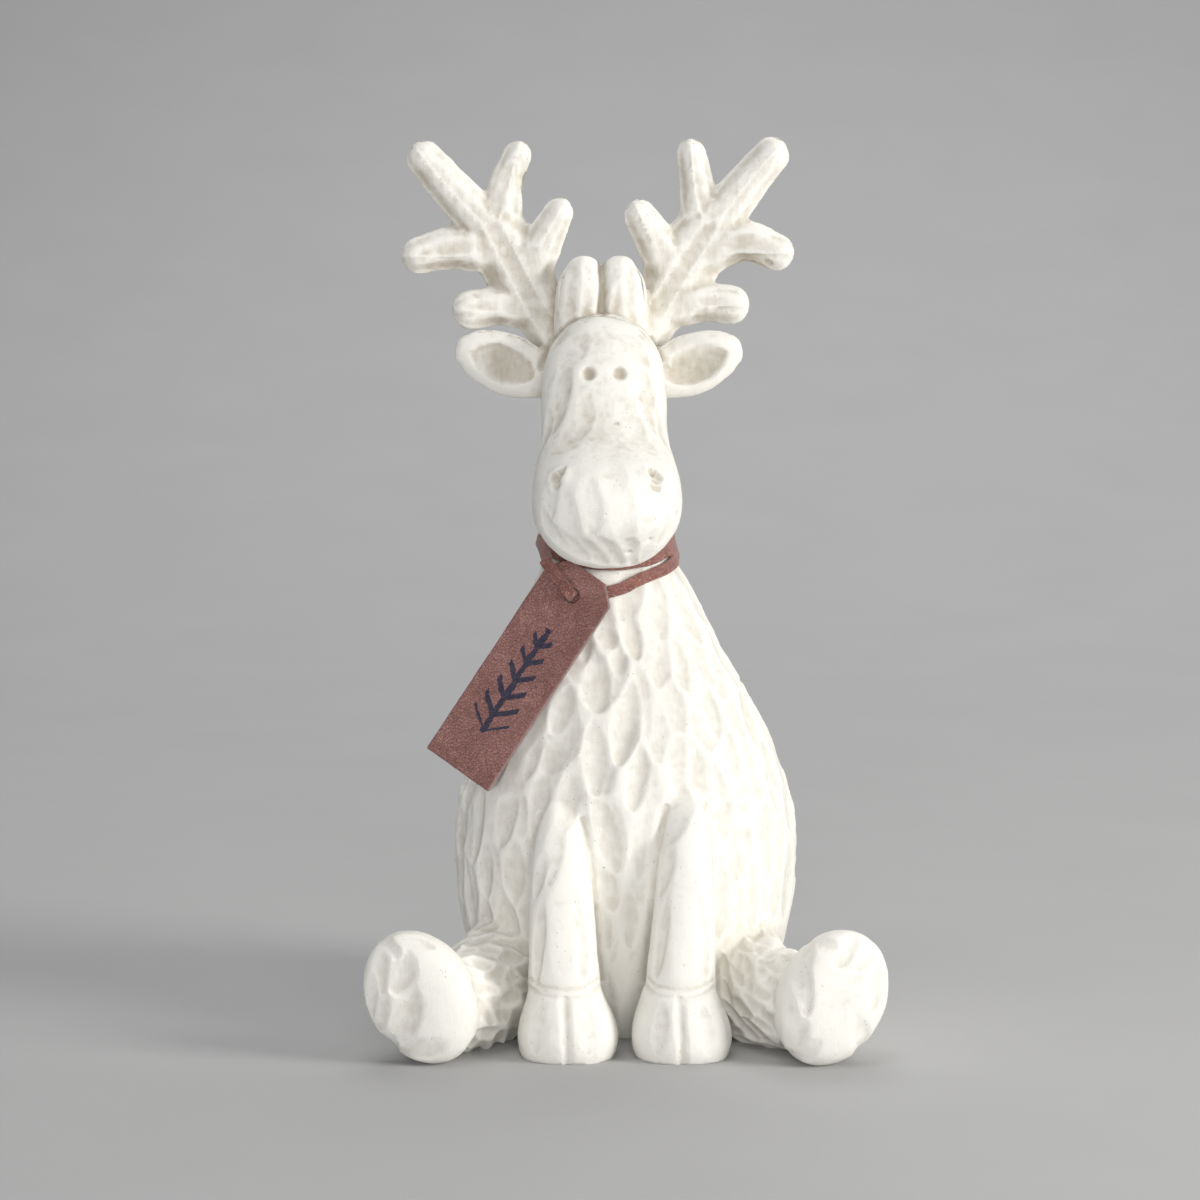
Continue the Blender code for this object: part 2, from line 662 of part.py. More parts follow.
def hole_radius():
    """The hole lets the flat lace through with its clearance all round."""
    return math.hypot(LACE_WIDTH, LACE_THICKNESS) / 2 + HOLE_CLEARANCE


def cutter(name, bm):
    """A hidden object for a boolean."""
    mesh = bpy.data.meshes.new(name)
    bm.to_mesh(mesh)
    bm.free()
    made = mesh_object(name, mesh)
    made.hide_render = True
    made.display_type = "WIRE"
    return made


def leather_tag(axes, hole):
    """The leather tag: a plate with a hole for the lace, set at its place on the chest."""
    bm = bmesh.new()
    face = bm.faces.new([bm.verts.new((x, y, 0)) for x, y in tag_outline()])
    raised = bmesh.ops.extrude_face_region(bm, geom=[face])["geom"]
    raised = [part for part in raised if isinstance(part, bmesh.types.BMVert)]
    bmesh.ops.translate(bm, vec=(0, 0, TAG_THICKNESS), verts=raised)
    bmesh.ops.recalc_face_normals(bm, faces=bm.faces)
    mesh = bpy.data.meshes.new("leather_tag")
    bm.to_mesh(mesh)
    bm.free()
    tag = mesh_object("leather_tag", mesh)
    bm = bmesh.new()
    radius = hole_radius()
    bmesh.ops.create_cone(
        bm, cap_ends=True, segments=24, radius1=radius, radius2=radius, depth=4 * TAG_THICKNESS
    )
    drill = cutter("lace hole", bm)
    for piece in (tag, drill):
        piece.matrix_world = Matrix.Translation(hole) @ axes.to_4x4()
    bore = tag.modifiers.new("lace hole", "BOOLEAN")
    bore.operation = "DIFFERENCE"
    bore.object = drill
    return tag


def strap(name, stations, steps=1):
    """A flat strap of the lace's section through (middle, outward way) stations."""
    rows = np.array([tuple(middle) + tuple(out) for middle, out in stations])
    rows = curve_through(rows, steps)
    middles, outs = rows[:, :3], rows[:, 3:]
    tangents = np.gradient(middles, axis=0)
    rings = []
    for middle, out, tangent in zip(middles, outs, tangents):
        tangent = tangent / np.linalg.norm(tangent)
        out = out - tangent * np.dot(out, tangent)
        out /= np.linalg.norm(out)
        wide = np.cross(tangent, out) * LACE_WIDTH / 2
        thick = out * LACE_THICKNESS / 2
        corners = [wide + thick, thick - wide, -wide - thick, wide - thick]
        rings.append([middle + corner for corner in corners])
    return skin(name, rings)


def through_tag(axes, hole):
    """The lace's stations over the tag's cut corner, across its face, through the hole and away."""
    across, up, out = (Vector(axes.col[k]) for k in range(3))
    inward = (across * LACE_COMES_IN[0] + up * LACE_COMES_IN[1]).normalized()
    away = (across * LACE_GOES_OUT[0] + up * LACE_GOES_OUT[1]).normalized()
    half = TAG_WIDTH / 2
    side, rise = inward.dot(across), -inward.dot(up)
    corner = half + TAG_HOLE_TO_TOP - TAG_CORNER_CUT
    edge = min(half / side, TAG_HOLE_TO_TOP / rise, corner / (side + rise))
    lift = GAP + LACE_THICKNESS / 2
    rim = hole_radius()
    front = TAG_THICKNESS + lift
    before = edge + lift + LACE_WIDTH * 0.15
    stations = [
        (-inward * (before + LACE_WIDTH * 0.5) + out * (front - LACE_WIDTH * 1.5), out * 0.2 - inward),
        (-inward * (before + lift * 0.7) + out * (front - lift * 2.4), out - inward * 1.5),
        (-inward * (before - lift * 0.1) + out * (front - lift * 0.45), out - inward * 0.7),
        (-inward * (edge - lift) + out * front, out),
        (-inward * (edge + rim) / 2 + out * front, out),
        (-inward * rim * 1.1 + out * front, out),
        (-inward * rim * 0.42 + out * (front - lift * 0.3), out + inward * 0.6),
        (-inward * rim * 0.06 + out * (front - lift * 1.1), inward),
        (out * TAG_THICKNESS / 2, inward + away),
        (away * rim * 0.06 + out * lift * 0.1, away),
        (away * rim * 0.42 - out * lift * 0.7, out + away * 0.6),
        (away * rim * 1.1 - out * lift, out),
        (away * rim * 1.6 + up * rim * 0.7 - out * lift * 1.1, out),
    ]
    return [(hole + place, way.normalized()) for place, way in stations]


def lower_strand(surface, axes, hole):
    """The strand that carries the tag: round the neck, in through the tag's hole and back to the nape."""
    track = -(LACE_WIDTH + GAP) / 2
    over = 3 * LACE_THICKNESS + 2 * GAP
    stations = [on_neck(surface, math.radians(a), track) for a in range(2, 72, 10)]
    for angle, rise in ((80, 0.25), (90, 0.6), (100, 0.8), (110, 0.9)):
        stations.append(on_neck(surface, math.radians(angle), track + rise * LACE_WIDTH, thickness=over))
    stations += through_tag(axes, hole)
    for angle, drop, thickness in ((179, 0.95, 1.9), (189, 0.75, 1.3), (200, 0.35, 1.0), (211, 0.1, 1.0)):
        spot = track - drop * LACE_WIDTH
        stations.append(on_neck(surface, math.radians(angle), spot, thickness=thickness * LACE_THICKNESS))
    stations += [on_neck(surface, math.radians(a), track) for a in range(223, 360, 9)]
    return stations


def loose_end(surface, lean):
    """One loose end below the knot, lying down the back of the neck."""
    stations = []
    for share in (0.0, 0.25, 0.5, 0.75, 1.0):
        stations.append(on_neck(surface, lean * (0.3 + share), -share * LACE_END_LENGTH, reach=1.6))
    return strap("loose end", stations, steps=2)


def neck_lace(surface, axes, hole):
    """The suede lace: two turns round the neck, its knot at the nape and two short ends."""
    track = (LACE_WIDTH + GAP) / 2
    upper = [on_neck(surface, math.radians(a), track) for a in range(2, 360, 10)]
    lace = strap("neck_lace", upper)
    depth = 1.6 * LACE_THICKNESS
    middle, out = on_neck(surface, 0.0, 0.0, thickness=2 * depth, reach=3.0)
    level = Vector((1, 0, 0))
    halves = (LACE_WIDTH * 1.3 / UNIT, LACE_WIDTH * 1.2 / UNIT, depth / UNIT)
    knot = rounded_block("knot", middle / UNIT, (level, out.cross(level), out), halves, 2.6, steps=4)
    parts = [strap("lower strand", lower_strand(surface, axes, hole), steps=2), knot]
    parts += [loose_end(surface, math.radians(lean)) for lean in (-17, 21)]
    for part in parts:
        part.hide_render = True
        part.display_type = "WIRE"
        union = lace.modifiers.new("join " + part.name, "BOOLEAN")
        union.operation = "UNION"
        union.object = part
    return lace


def finish(name, colour, roughness):
    """A plain material."""
    made = bpy.data.materials.new(name)
    made.use_nodes = True
    shader = made.node_tree.nodes["Principled BSDF"]
    shader.inputs["Base Color"].default_value = (*colour, 1.0)
    shader.inputs["Roughness"].default_value = roughness
    shader.inputs["Metallic"].default_value = 0.0
    return made


def stand_on_origin(cast):
    """Moves everything so that the origin is under the middle of the figurine's box."""
    corners = np.array([cast.matrix_world @ v.co for v in cast.data.vertices])
    middle = (corners.min(axis=0) + corners.max(axis=0)) / 2
    shift = Matrix.Translation((-middle[0], -middle[1], 0.0))
    for obj in bpy.context.scene.objects:
        obj.matrix_world = shift @ obj.matrix_world


def main():
    for obj in list(bpy.data.objects):
        bpy.data.objects.remove(obj)
    cast = cast_reindeer()
    surface = carved_surface(cast)
    axes, hole = tag_frame(surface)
    tag = leather_tag(axes, hole)
    lace = neck_lace(surface, axes, hole)
    cast.data.materials.append(finish("whitewashed cast stone", (0.86, 0.84, 0.79), 0.85))
    tag.data.materials.append(finish("brown leather", (0.30, 0.145, 0.115), 0.6))
    lace.data.materials.append(finish("brown suede", (0.33, 0.155, 0.12), 0.95))
    bpy.context.view_layer.update()
    stand_on_origin(cast)


main()
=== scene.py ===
"""The looks of a seated reindeer figurine: whitewashed cast stone, a leather tag and a suede lace.

Metres, +Z up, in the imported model's frame. The figurine faces -Y, and its right is on the viewer's left.
"""

import json
import math
import random

import bmesh
import bpy
import numpy as np
from mathutils import Matrix, Vector, noise
from mathutils.bvhtree import BVHTree

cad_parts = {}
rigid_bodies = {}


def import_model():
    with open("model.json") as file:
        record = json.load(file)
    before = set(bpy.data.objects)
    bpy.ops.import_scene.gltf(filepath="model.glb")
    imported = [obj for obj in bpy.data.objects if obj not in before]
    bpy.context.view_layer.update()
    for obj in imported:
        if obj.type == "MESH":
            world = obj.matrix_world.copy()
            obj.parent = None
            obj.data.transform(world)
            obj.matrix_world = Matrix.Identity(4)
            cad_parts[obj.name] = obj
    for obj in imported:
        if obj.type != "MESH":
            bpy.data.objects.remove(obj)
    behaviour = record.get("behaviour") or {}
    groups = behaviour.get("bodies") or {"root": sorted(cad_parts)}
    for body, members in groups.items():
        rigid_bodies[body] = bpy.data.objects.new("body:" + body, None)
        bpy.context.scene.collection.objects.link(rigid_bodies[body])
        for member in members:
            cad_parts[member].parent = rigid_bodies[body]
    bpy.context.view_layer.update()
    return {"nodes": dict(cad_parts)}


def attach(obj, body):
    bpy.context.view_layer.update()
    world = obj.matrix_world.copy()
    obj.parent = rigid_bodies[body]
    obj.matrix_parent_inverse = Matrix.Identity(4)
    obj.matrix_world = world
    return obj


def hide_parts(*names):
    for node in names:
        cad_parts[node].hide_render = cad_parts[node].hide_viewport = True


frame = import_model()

# Driving sizes.
FIGURE_HEIGHT = 0.300
TAG_WIDTH = 0.0265
TAG_LENGTH = 0.0790
TAG_THICKNESS = 0.0022
TAG_CORNER_CUT = 0.0058
TAG_HOLE_TO_TOP = 0.0095
HOLE_CLEARANCE = 0.0005
LACE_WIDTH = 0.0040
LACE_THICKNESS = 0.0015
LACE_END_LENGTH = 0.024
GAP = 0.0003

# The carving is drawn on a grid of 300 units to the figure's height, x to the viewer's right and y away.
UNIT = FIGURE_HEIGHT / 300.0
GRID_ORIGIN = (0.10, -9.84)
SKIN_VOXEL = 0.8 * UNIT
TAG_VOXEL = 0.00035
LACE_VOXEL = 0.00032
CAST_TRIANGLES = 190000
RING_SIDES = 96
LIMB_SIDES = 48
RING_STEPS = 4
LIMB_STEPS = 6

# Level rings of a form: height, middle x, half width, front y, back y.
BODY_RINGS = [
    (-4, 0.0, 40.0, -36.0, 44.0),
    (0, 0.0, 43.5, -38.5, 46.5),
    (6, 0.0, 47.8, -42.5, 50.5),
    (14, 0.2, 51.2, -46.0, 54.0),
    (26, 0.4, 54.4, -49.0, 57.5),
    (40, 0.5, 57.4, -51.0, 60.0),
    (54, 0.5, 59.0, -51.5, 60.5),
    (67, 0.5, 58.5, -50.5, 58.0),
    (80, 0.3, 56.1, -48.0, 54.0),
    (95, -0.3, 50.9, -44.0, 47.0),
    (109, -1.3, 45.0, -39.5, 39.5),
    (126, -2.3, 36.7, -33.0, 32.5),
    (140, -3.4, 30.4, -28.5, 28.0),
    (147, -4.0, 27.5, -26.3, 26.5),
    (155, -4.8, 23.1, -23.4, 24.8),
    (162, -5.2, 21.0, -21.8, 24.0),
    (172, -6.0, 19.5, -19.8, 24.0),
    (185, -7.0, 19.0, -18.0, 24.5),
    (200, -7.8, 18.5, -14.0, 25.0),
    (215, -8.3, 19.0, -12.0, 25.0),
    (226, -8.5, 18.5, -9.0, 23.0),
    (235, -8.6, 16.0, -6.0, 19.5),
    (241, -8.6, 11.0, -2.0, 14.0),
    (244, -8.6, 5.0, 2.0, 9.0),
]
HEAD_RINGS = [
    (240.3, -7.2, 2.5, -13.0, -7.0),
    (239, -7.2, 7.0, -16.0, -4.0),
    (236.5, -7.2, 11.5, -19.0, 0.0),
    (233, -7.1, 15.0, -22.0, 2.0),
    (228, -7.1, 18.3, -25.5, 4.0),
    (221, -7.0, 20.2, -29.0, 5.0),
    (212, -7.0, 21.0, -32.5, 5.0),
    (205, -6.9, 20.9, -36.0, 4.0),
    (200, -6.7, 21.0, -41.0, 2.0),
    (196, -6.5, 21.7, -48.0, 0.0),
    (192, -6.3, 22.8, -55.0, -4.0),
    (187, -6.1, 24.0, -60.5, -8.0),
    (180, -6.0, 24.7, -63.0, -12.0),
    (173, -6.0, 23.8, -62.5, -17.0),
    (167.5, -6.0, 20.8, -59.0, -24.0),
    (163, -6.0, 16.5, -55.0, -31.0),
    (160, -6.0, 11.5, -51.0, -36.0),
    (158.3, -6.0, 5.0, -47.0, -41.0),
]
HOOF_RINGS = [
    (-2, 0.0, 14.2, -76.5, -50.0),
    (0, 0.0, 15.0, -77.8, -48.0),
    (3, 0.0, 16.1, -79.3, -47.0),
    (7, 0.0, 16.6, -79.8, -46.0),
    (12, -0.2, 15.6, -78.8, -47.0),
    (18, -0.7, 13.2, -76.6, -49.0),
    (22, -1.0, 11.6, -74.6, -50.0),
    (23.4, -1.0, 8.5, -71.5, -53.0),
]
HOOF_MIDDLES = {"right": -18.8, "left": 18.4}

# Limbs: x, y, z, half width, half depth at each station. The other ear and tuft are mirrored.
EAR = [
    (-22.0, 3.0, 217.5, 5.5, 4.5),
    (-30.0, 2.0, 219.5, 8.4, 4.8),
    (-38.0, 1.0, 222.3, 10.5, 5.0),
    (-46.0, 0.0, 225.4, 9.6, 4.5),
    (-51.5, -0.5, 227.4, 7.6, 3.7),
    (-54.4, -0.8, 228.3, 5.2, 2.8),
]
EAR_MIRROR_X = -8.7
EAR_HOLLOW = (-41.4, -4.0, 223.4)
EAR_HOLLOW_RUNS = (-0.93, 0.0, 0.34)
EAR_HOLLOW_SIZE = (12.0, 7.0, 3.6)
# Painted shade in the ear's hollow: its middle and half sizes. The other ear's is mirrored.
EAR_SHADE = (-37.0, -4.0, 222.0)
EAR_SHADE_SIZE = (10.0, 5.0, 6.5)
TUFT = [
    (-14.5, 2.0, 234.0, 9.5, 9.0),
    (-14.6, 1.0, 244.0, 8.8, 8.0),
    (-14.4, 1.0, 250.5, 8.0, 6.8),
    (-13.8, 1.5, 255.2, 5.8, 4.6),
]
TUFT_MIRROR_X = -7.8
FORELEGS = {
    "right": [
        (-21.8, -33.0, 84.0, 6.0, 5.5),
        (-21.8, -40.5, 75.0, 8.2, 6.8),
        (-21.5, -48.0, 64.0, 9.6, 8.6),
        (-21.0, -54.5, 50.0, 10.6, 9.8),
        (-20.4, -59.5, 34.0, 11.2, 10.6),
        (-20.0, -61.5, 22.0, 11.7, 11.2),
        (-20.0, -61.5, 12.0, 10.0, 10.2),
    ],
    "left": [
        (20.6, -33.0, 88.0, 5.4, 5.2),
        (20.4, -40.5, 79.0, 7.4, 6.6),
        (19.9, -48.0, 66.0, 9.0, 8.4),
        (19.4, -54.5, 50.0, 10.0, 9.7),
        (18.7, -59.5, 34.0, 10.9, 10.6),
        (18.0, -61.5, 22.0, 11.4, 11.2),
        (18.0, -61.5, 12.0, 10.0, 10.2),
    ],
}
THIGHS = {
    "right": [
        (-32.0, -14.0, 20.0, 24.0, 22.0),
        (-41.0, -30.0, 18.0, 20.5, 18.5),
        (-48.0, -43.0, 17.0, 19.5, 17.0),
        (-55.0, -56.0, 16.5, 18.2, 15.5),
        (-60.0, -64.0, 17.5, 16.0, 14.0),
    ],
    "left": [
        (32.0, -14.0, 19.0, 23.0, 22.0),
        (40.5, -30.0, 17.0, 19.4, 18.0),
        (47.5, -43.0, 16.0, 18.4, 16.5),
        (55.0, -56.0, 16.3, 17.2, 15.0),
        (61.0, -64.0, 17.5, 15.5, 13.5),
    ],
}
# Hind feet: middle, which way the sole faces, half width, half height, half thickness, lean in degrees.
FEET = {
    "right": ((-66.2, -72.5, 21.3), (-0.16, -0.985, 0.05), 17.4, 22.6, 11.5, -30.0),
    "left": ((66.6, -73.5, 21.3), (0.26, -0.96, 0.05), 17.4, 22.9, 11.5, 28.0),
}
# How square the pads of the hind feet are, 2 for an oval.
FEET_POWER = 2.9
# Where the forelegs stand out of the body: below this height, before this depth and this near their middles.
FORELEG_TOP = 74.0
FORELEG_FRONT = -30.0
FORELEG_REACH = 12.5
FORELEG_MIDDLES = (-21.0, 20.0)
# The middle of the foreleg above its hoof, and how far its fine lines reach from there.
SHIN_Y = -61.5
SHIN_REACH = 17.0
# Where the thighs hide the body: this far aside, before this depth and below this height.
THIGH_ZONE = (30.0, 2.0, 40.0)
# The chest and belly: before this depth and above this height.
FRONT_ZONE = (-17.0, 36.0)

TAIL = [
    (0.0, 56.0, 47.0, 7.0, 5.0),
    (0.0, 61.5, 37.0, 7.6, 5.2),
    (0.0, 62.5, 27.0, 4.6, 4.2),
]
ANTLERS = {
    "right": [
        [(-20.0, 9.0, 226.0, 7.5, 7.0), (-26.5, 9.0, 237.0, 8.8, 7.2), (-32.5, 9.5, 247.0, 10.6, 7.2),
         (-37.0, 10.0, 257.0, 12.2, 7.0), (-43.5, 10.0, 267.0, 10.5, 6.8)],
        [(-33.0, 9.0, 241.0, 6.4, 6.5), (-43.0, 8.0, 242.4, 6.6, 6.2), (-52.4, 6.5, 241.0, 6.9, 6.0)],
        [(-42.0, 10.0, 260.5, 8.0, 6.5), (-58.0, 9.0, 262.0, 7.4, 6.2), (-69.9, 7.0, 259.4, 6.3, 5.8)],
        [(-43.0, 10.0, 264.0, 8.8, 6.5), (-55.0, 9.5, 278.0, 7.4, 6.2), (-67.8, 8.0, 292.3, 6.3, 5.8)],
        [(-42.0, 10.0, 268.0, 7.6, 6.3), (-40.2, 11.5, 283.0, 5.9, 5.9), (-36.3, 13.0, 293.2, 4.9, 5.2)],
        [(-34.0, 9.5, 252.0, 8.4, 6.8), (-27.5, 8.5, 264.0, 6.8, 6.3), (-22.3, 7.0, 273.8, 5.2, 5.4)],
    ],
    "left": [
        [(3.0, 9.0, 226.0, 7.5, 7.0), (9.5, 9.0, 237.0, 8.8, 7.2), (15.2, 9.5, 247.0, 10.6, 7.2),
         (20.2, 10.0, 257.0, 12.0, 7.0), (27.0, 10.0, 267.0, 10.5, 6.8)],
        [(16.0, 9.0, 241.0, 6.4, 6.5), (26.5, 8.0, 243.6, 6.6, 6.2), (36.4, 6.5, 242.8, 6.7, 6.0)],
        [(24.0, 10.0, 259.0, 8.0, 6.5), (40.0, 9.0, 264.2, 7.2, 6.2), (51.8, 7.0, 260.4, 6.3, 5.8)],
        [(26.0, 10.0, 264.0, 8.8, 6.5), (38.0, 9.5, 279.5, 7.4, 6.2), (49.9, 8.0, 293.8, 6.2, 5.8)],
        [(25.6, 10.0, 268.0, 7.8, 6.3), (24.6, 11.5, 283.0, 6.0, 5.9), (22.6, 13.0, 293.9, 5.0, 5.2)],
        [(17.0, 9.5, 252.0, 8.4, 6.8), (10.6, 8.5, 264.0, 7.0, 6.3), (5.2, 7.0, 273.2, 5.6, 5.4)],
    ],
}

# The way the tag's face looks and the way its length runs down.
TAG_FACES = (-0.30, -0.92, 0.25)
TAG_RUNS_DOWN = (-0.535, -0.845)

# The lace's ring: middle, and how much it rises from the throat to the nape for each unit of depth.
RING_MIDDLE = (-5.2, 1.0, 162.5)
RING_SLOPE = 0.32

# How the lace runs over the tag's face towards the hole, and behind the tag away from it: across and up.
LACE_COMES_IN = (0.95, -0.31)
LACE_GOES_OUT = (0.98, 0.20)
# How it climbs onto the tag: degrees round the neck, and the rise in lace widths.
CLIMBS = ((80, 0.25), (90, 0.6), (100, 0.8), (110, 0.9))
# How it comes back to the neck: degrees, drop in lace widths, and what it lies over in thicknesses.
RETURNS = ((179, 0.95, 1.9), (189, 0.75, 1.3), (200, 0.35, 1.0), (211, 0.1, 1.0))
# The knot's half sizes in lace widths, its half depth in thicknesses and how square it is, and the leans
# of the two loose ends in degrees.
KNOT_SHARES = (1.3, 1.2)
KNOT_DEPTH = 1.6
KNOT_POWER = 2.6
LOOSE_END_LEANS = (-17, 21)

# Gouge cuts seen from the front, first those on the chest and belly: x, z, half length, half width, depth,
# and how far the top leans to the viewer's right in degrees.
FRONT_CUTS = [
    (-9.8, 119.9, 8.9, 5.4, 1.9, -8), (0.3, 107.6, 12.4, 5.0, 2.3, 10), (-21.7, 99.0, 9.4, 5.6, 1.7, 24),
    (-9.8, 95.4, 10.4, 4.8, 1.8, -4), (4.0, 89.7, 9.4, 4.0, 1.7, 8), (10.4, 106.5, 10.8, 5.0, 1.0, 0),
    (-28.5, 81.3, 11.2, 3.8, 1.8, 6), (-18.0, 83.0, 9.8, 4.0, 1.1, 4), (-39.8, 74.8, 9.0, 4.8, 1.7, 14),
    (-49.9, 69.7, 10.4, 3.9, 1.6, 8), (-6.6, 70.8, 11.4, 5.2, 2.0, -12), (-23.5, 66.9, 9.8, 3.2, 0.7, 0),
    (4.7, 64.6, 8.2, 3.0, 1.3, 0), (-46.9, 56.5, 8.6, 3.8, 1.6, 6), (-37.0, 56.7, 9.2, 5.2, 1.8, 4),
    (-52.5, 44.0, 10.8, 2.8, 1.3, 0), (-7.0, 55.5, 9.2, 4.8, 1.9, -14), (-33.5, 64.5, 10.8, 2.8, 1.1, 0),
    (1.9, 43.6, 9.2, 3.5, 1.4, 0), (-7.9, 41.6, 8.4, 4.0, 1.4, -10), (-39.9, 40.8, 9.2, 4.5, 1.8, -20),
    (-46.5, 38.5, 7.4, 3.2, 1.3, -10), (26.0, 125.1, 7.8, 4.0, 1.3, -20), (28.3, 110.3, 9.0, 3.6, 1.5, -6),
    (37.2, 106.9, 7.4, 4.4, 1.1, -10), (42.7, 89.6, 9.4, 4.0, 1.2, -8), (49.1, 84.8, 9.4, 3.2, 1.1, -8),
    (37.7, 64.4, 10.2, 4.4, 1.1, 0), (2.2, 134.1, 6.6, 3.3, 1.7, -10), (-6.1, 134.1, 4.2, 3.2, 1.3, -30),
    (11.5, 126.2, 8.2, 4.0, 1.3, 6), (18.9, 125.3, 8.2, 3.6, 1.2, 0), (16.8, 95.8, 9.4, 4.4, 1.0, 0),
    (24.0, 89.3, 10.2, 4.4, 1.1, -4), (31.6, 80.7, 10.2, 4.4, 1.1, -4), (17.5, 79.3, 10.2, 4.4, 0.9, 0),
    (11.2, 72.1, 6.0, 3.0, 0.9, 0), (47.8, 65.6, 10.2, 3.6, 1.1, 0), (43.0, 48.8, 10.2, 4.4, 1.1, 0),
    (31.6, 48.7, 11.2, 4.4, 1.1, 0), (-31.0, 94.8, 6.8, 3.2, 1.4, 15), (-20.8, 110.0, 7.4, 4.0, 1.5, 10),
    (-13.5, 130.3, 5.0, 2.8, 1.3, 0), (-2.4, 126.4, 5.0, 3.2, 1.3, 0), (-35.0, 109.0, 8.0, 4.4, 1.4, 14),
    (-42.0, 93.0, 8.4, 4.2, 1.4, 12), (-30.0, 124.0, 7.6, 4.0, 1.4, 16), (36.0, 95.0, 8.0, 3.8, 1.1, -8),
]
LEG_CUTS = [
    (-28.6, 38.0, 14.0, 3.0, 1.6, -6), (11.4, 40.0, 14.0, 3.0, 1.6, -6), (-20.5, 46.0, 20.0, 5.0, 0.35, 0),
    (-14.6, 40.0, 16.0, 3.2, 0.8, 4), (19.0, 46.0, 20.0, 5.0, 0.35, 0), (25.6, 40.0, 16.0, 3.2, 0.8, 6),
    (-27.8, 60.0, 9.0, 2.8, 1.0, 0), (13.2, 60.0, 9.0, 2.8, 1.0, 0), (-29.0, 12.0, 9.0, 3.4, 0.7, 0),
    (-12.0, 12.0, 9.0, 3.4, 0.7, 0), (11.0, 12.0, 9.0, 3.4, 0.7, 0), (26.5, 12.0, 9.0, 3.4, 0.7, 0),
]
FACE_CUTS = [
    (-15.5, 205.0, 12.0, 5.2, 0.55, 12), (2.5, 206.0, 12.0, 4.6, 0.4, -8), (-21.5, 214.0, 14.0, 4.2, 1.1, 2),
    (7.5, 214.0, 14.0, 4.2, 1.1, -2), (-17.0, 229.0, 8.5, 5.2, 0.6, 24), (3.0, 229.0, 8.5, 5.2, 0.6, -24),
    (-25.5, 204.0, 12.0, 3.4, 0.9, -4), (11.5, 204.0, 12.0, 3.4, 0.9, 4), (-19.0, 198.5, 6.5, 4.6, 0.4, 40),
    (5.5, 198.5, 6.5, 4.6, 0.35, -40), (-18.5, 176.0, 9.5, 4.0, 0.8, -8), (-11.9, 181.0, 10.5, 4.4, 0.65, -6),
    (-3.7, 189.0, 8.5, 4.4, 0.5, 0), (-0.4, 177.0, 10.5, 4.6, 0.7, -4), (7.0, 181.0, 9.5, 4.2, 0.6, 6),
    (13.0, 179.0, 8.5, 3.8, 0.6, 10), (-24.5, 183.0, 8.0, 3.6, 0.7, -10), (-25.5, 173.0, 7.0, 3.0, 1.0, -24),
    (-23.0, 170.0, 7.5, 3.2, 1.1, -32), (-17.6, 166.5, 9.5, 4.0, 1.2, -32),
    (-11.5, 164.5, 9.5, 4.2, 1.2, -28), (-5.0, 164.0, 9.5, 4.2, 1.2, -22), (1.5, 164.5, 9.5, 4.2, 1.2, -14),
    (7.9, 167.0, 9.5, 4.2, 1.1, 0), (13.5, 172.0, 7.5, 3.6, 1.1, 14),
]
SOLE_CUTS = [
    (-72.3, 31.5, 6.4, 4.8, 1.5, 14), (-71.3, 17.1, 9.6, 5.0, 1.6, 18), (-79.0, 33.0, 8.0, 3.0, 1.3, -6),
    (-82.3, 23.6, 7.0, 2.6, 1.2, 8), (-76.5, 8.5, 6.6, 4.2, 1.3, 34), (-63.0, 6.3, 5.6, 3.4, 1.0, 60),
    (-77.1, 39.4, 6.4, 2.6, 1.2, -40), (-69.0, 41.0, 6.4, 2.8, 1.0, -70), (-79.2, 17.5, 6.2, 3.2, 1.3, 20),
    (-69.5, 5.8, 5.4, 3.4, 1.2, 50), (-55.0, 39.0, 7.5, 2.8, 0.8, 52), (55.5, 29.3, 9.5, 3.8, 1.3, -16),
    (58.3, 38.0, 6.5, 3.2, 1.1, -38), (71.3, 39.0, 6.0, 3.4, 1.4, 30), (52.8, 21.0, 8.0, 3.0, 1.0, -8),
    (54.6, 12.0, 6.5, 3.6, 1.1, 12), (64.0, 39.5, 5.6, 3.0, 1.0, -60), (78.4, 37.1, 6.0, 3.2, 1.2, 42),
    (81.0, 27.0, 7.5, 3.0, 1.0, 8), (76.0, 10.0, 7.5, 3.4, 1.0, -22), (57.0, 5.5, 6.0, 3.4, 1.0, 50),
]

# How far round a groove's line the skin is looked at, and how far it may lie behind or before the line.
GROOVE_MARGIN = 9
GROOVE_LIMIT = 7
# Half width and depth of the creases, the forelock's parting, the hooves' clefts and the forelegs' edges.
BROW_SIZE = (1.7, 1.2)
PARTING_SIZE = (2.2, 2.4)
CLEFT_SIZE = (1.8, 1.0)
EDGE_SIZE = (1.8, 1.3)
PARTING = [(-7.8, -8, 241), (-7.2, -7, 248), (-7.8, -4, 262)]
# A hoof's cleft, with x from the hoof's middle.
CLEFT = [(0.5, -80, -3), (-0.2, -79, 9), (-0.9, -76, 20.5)]
# The crease where the face meets the forelock and the antlers.
BROW_LINE = [
    (-28.5, -2.0, 222.0), (-24.5, 0.5, 231.5), (-16.7, -8.0, 238.0), (-7.0, -12.0, 240.2),
    (2.4, -11.0, 237.6), (8.6, 1.0, 231.8), (13.5, -2.0, 223.0),
]
# The plain rows of the gouge's cuts: where they start and end on the body, how far apart the rows and the
# cuts in them are, how deep they go on the chest, and the rows on the nape with their spacing in degrees.
FIRST_ROW = 15.0
LAST_ROW = 150.0
ROW_RISE = 18.5
CUT_SPACING = 11.0
FRONT_SHARE = 0.55
NAPE_ROWS = (186.0, 207.0, 227.0)
NAPE_SPACING = 19
# The cuts in each row round a thigh.
THIGH_CUTS = 8
# A cut narrows by these powers towards its top and its foot. It is deeper by this share low and right.
CUT_TOP = 0.85
CUT_FOOT = 0.5
CUT_LEAN = 0.35

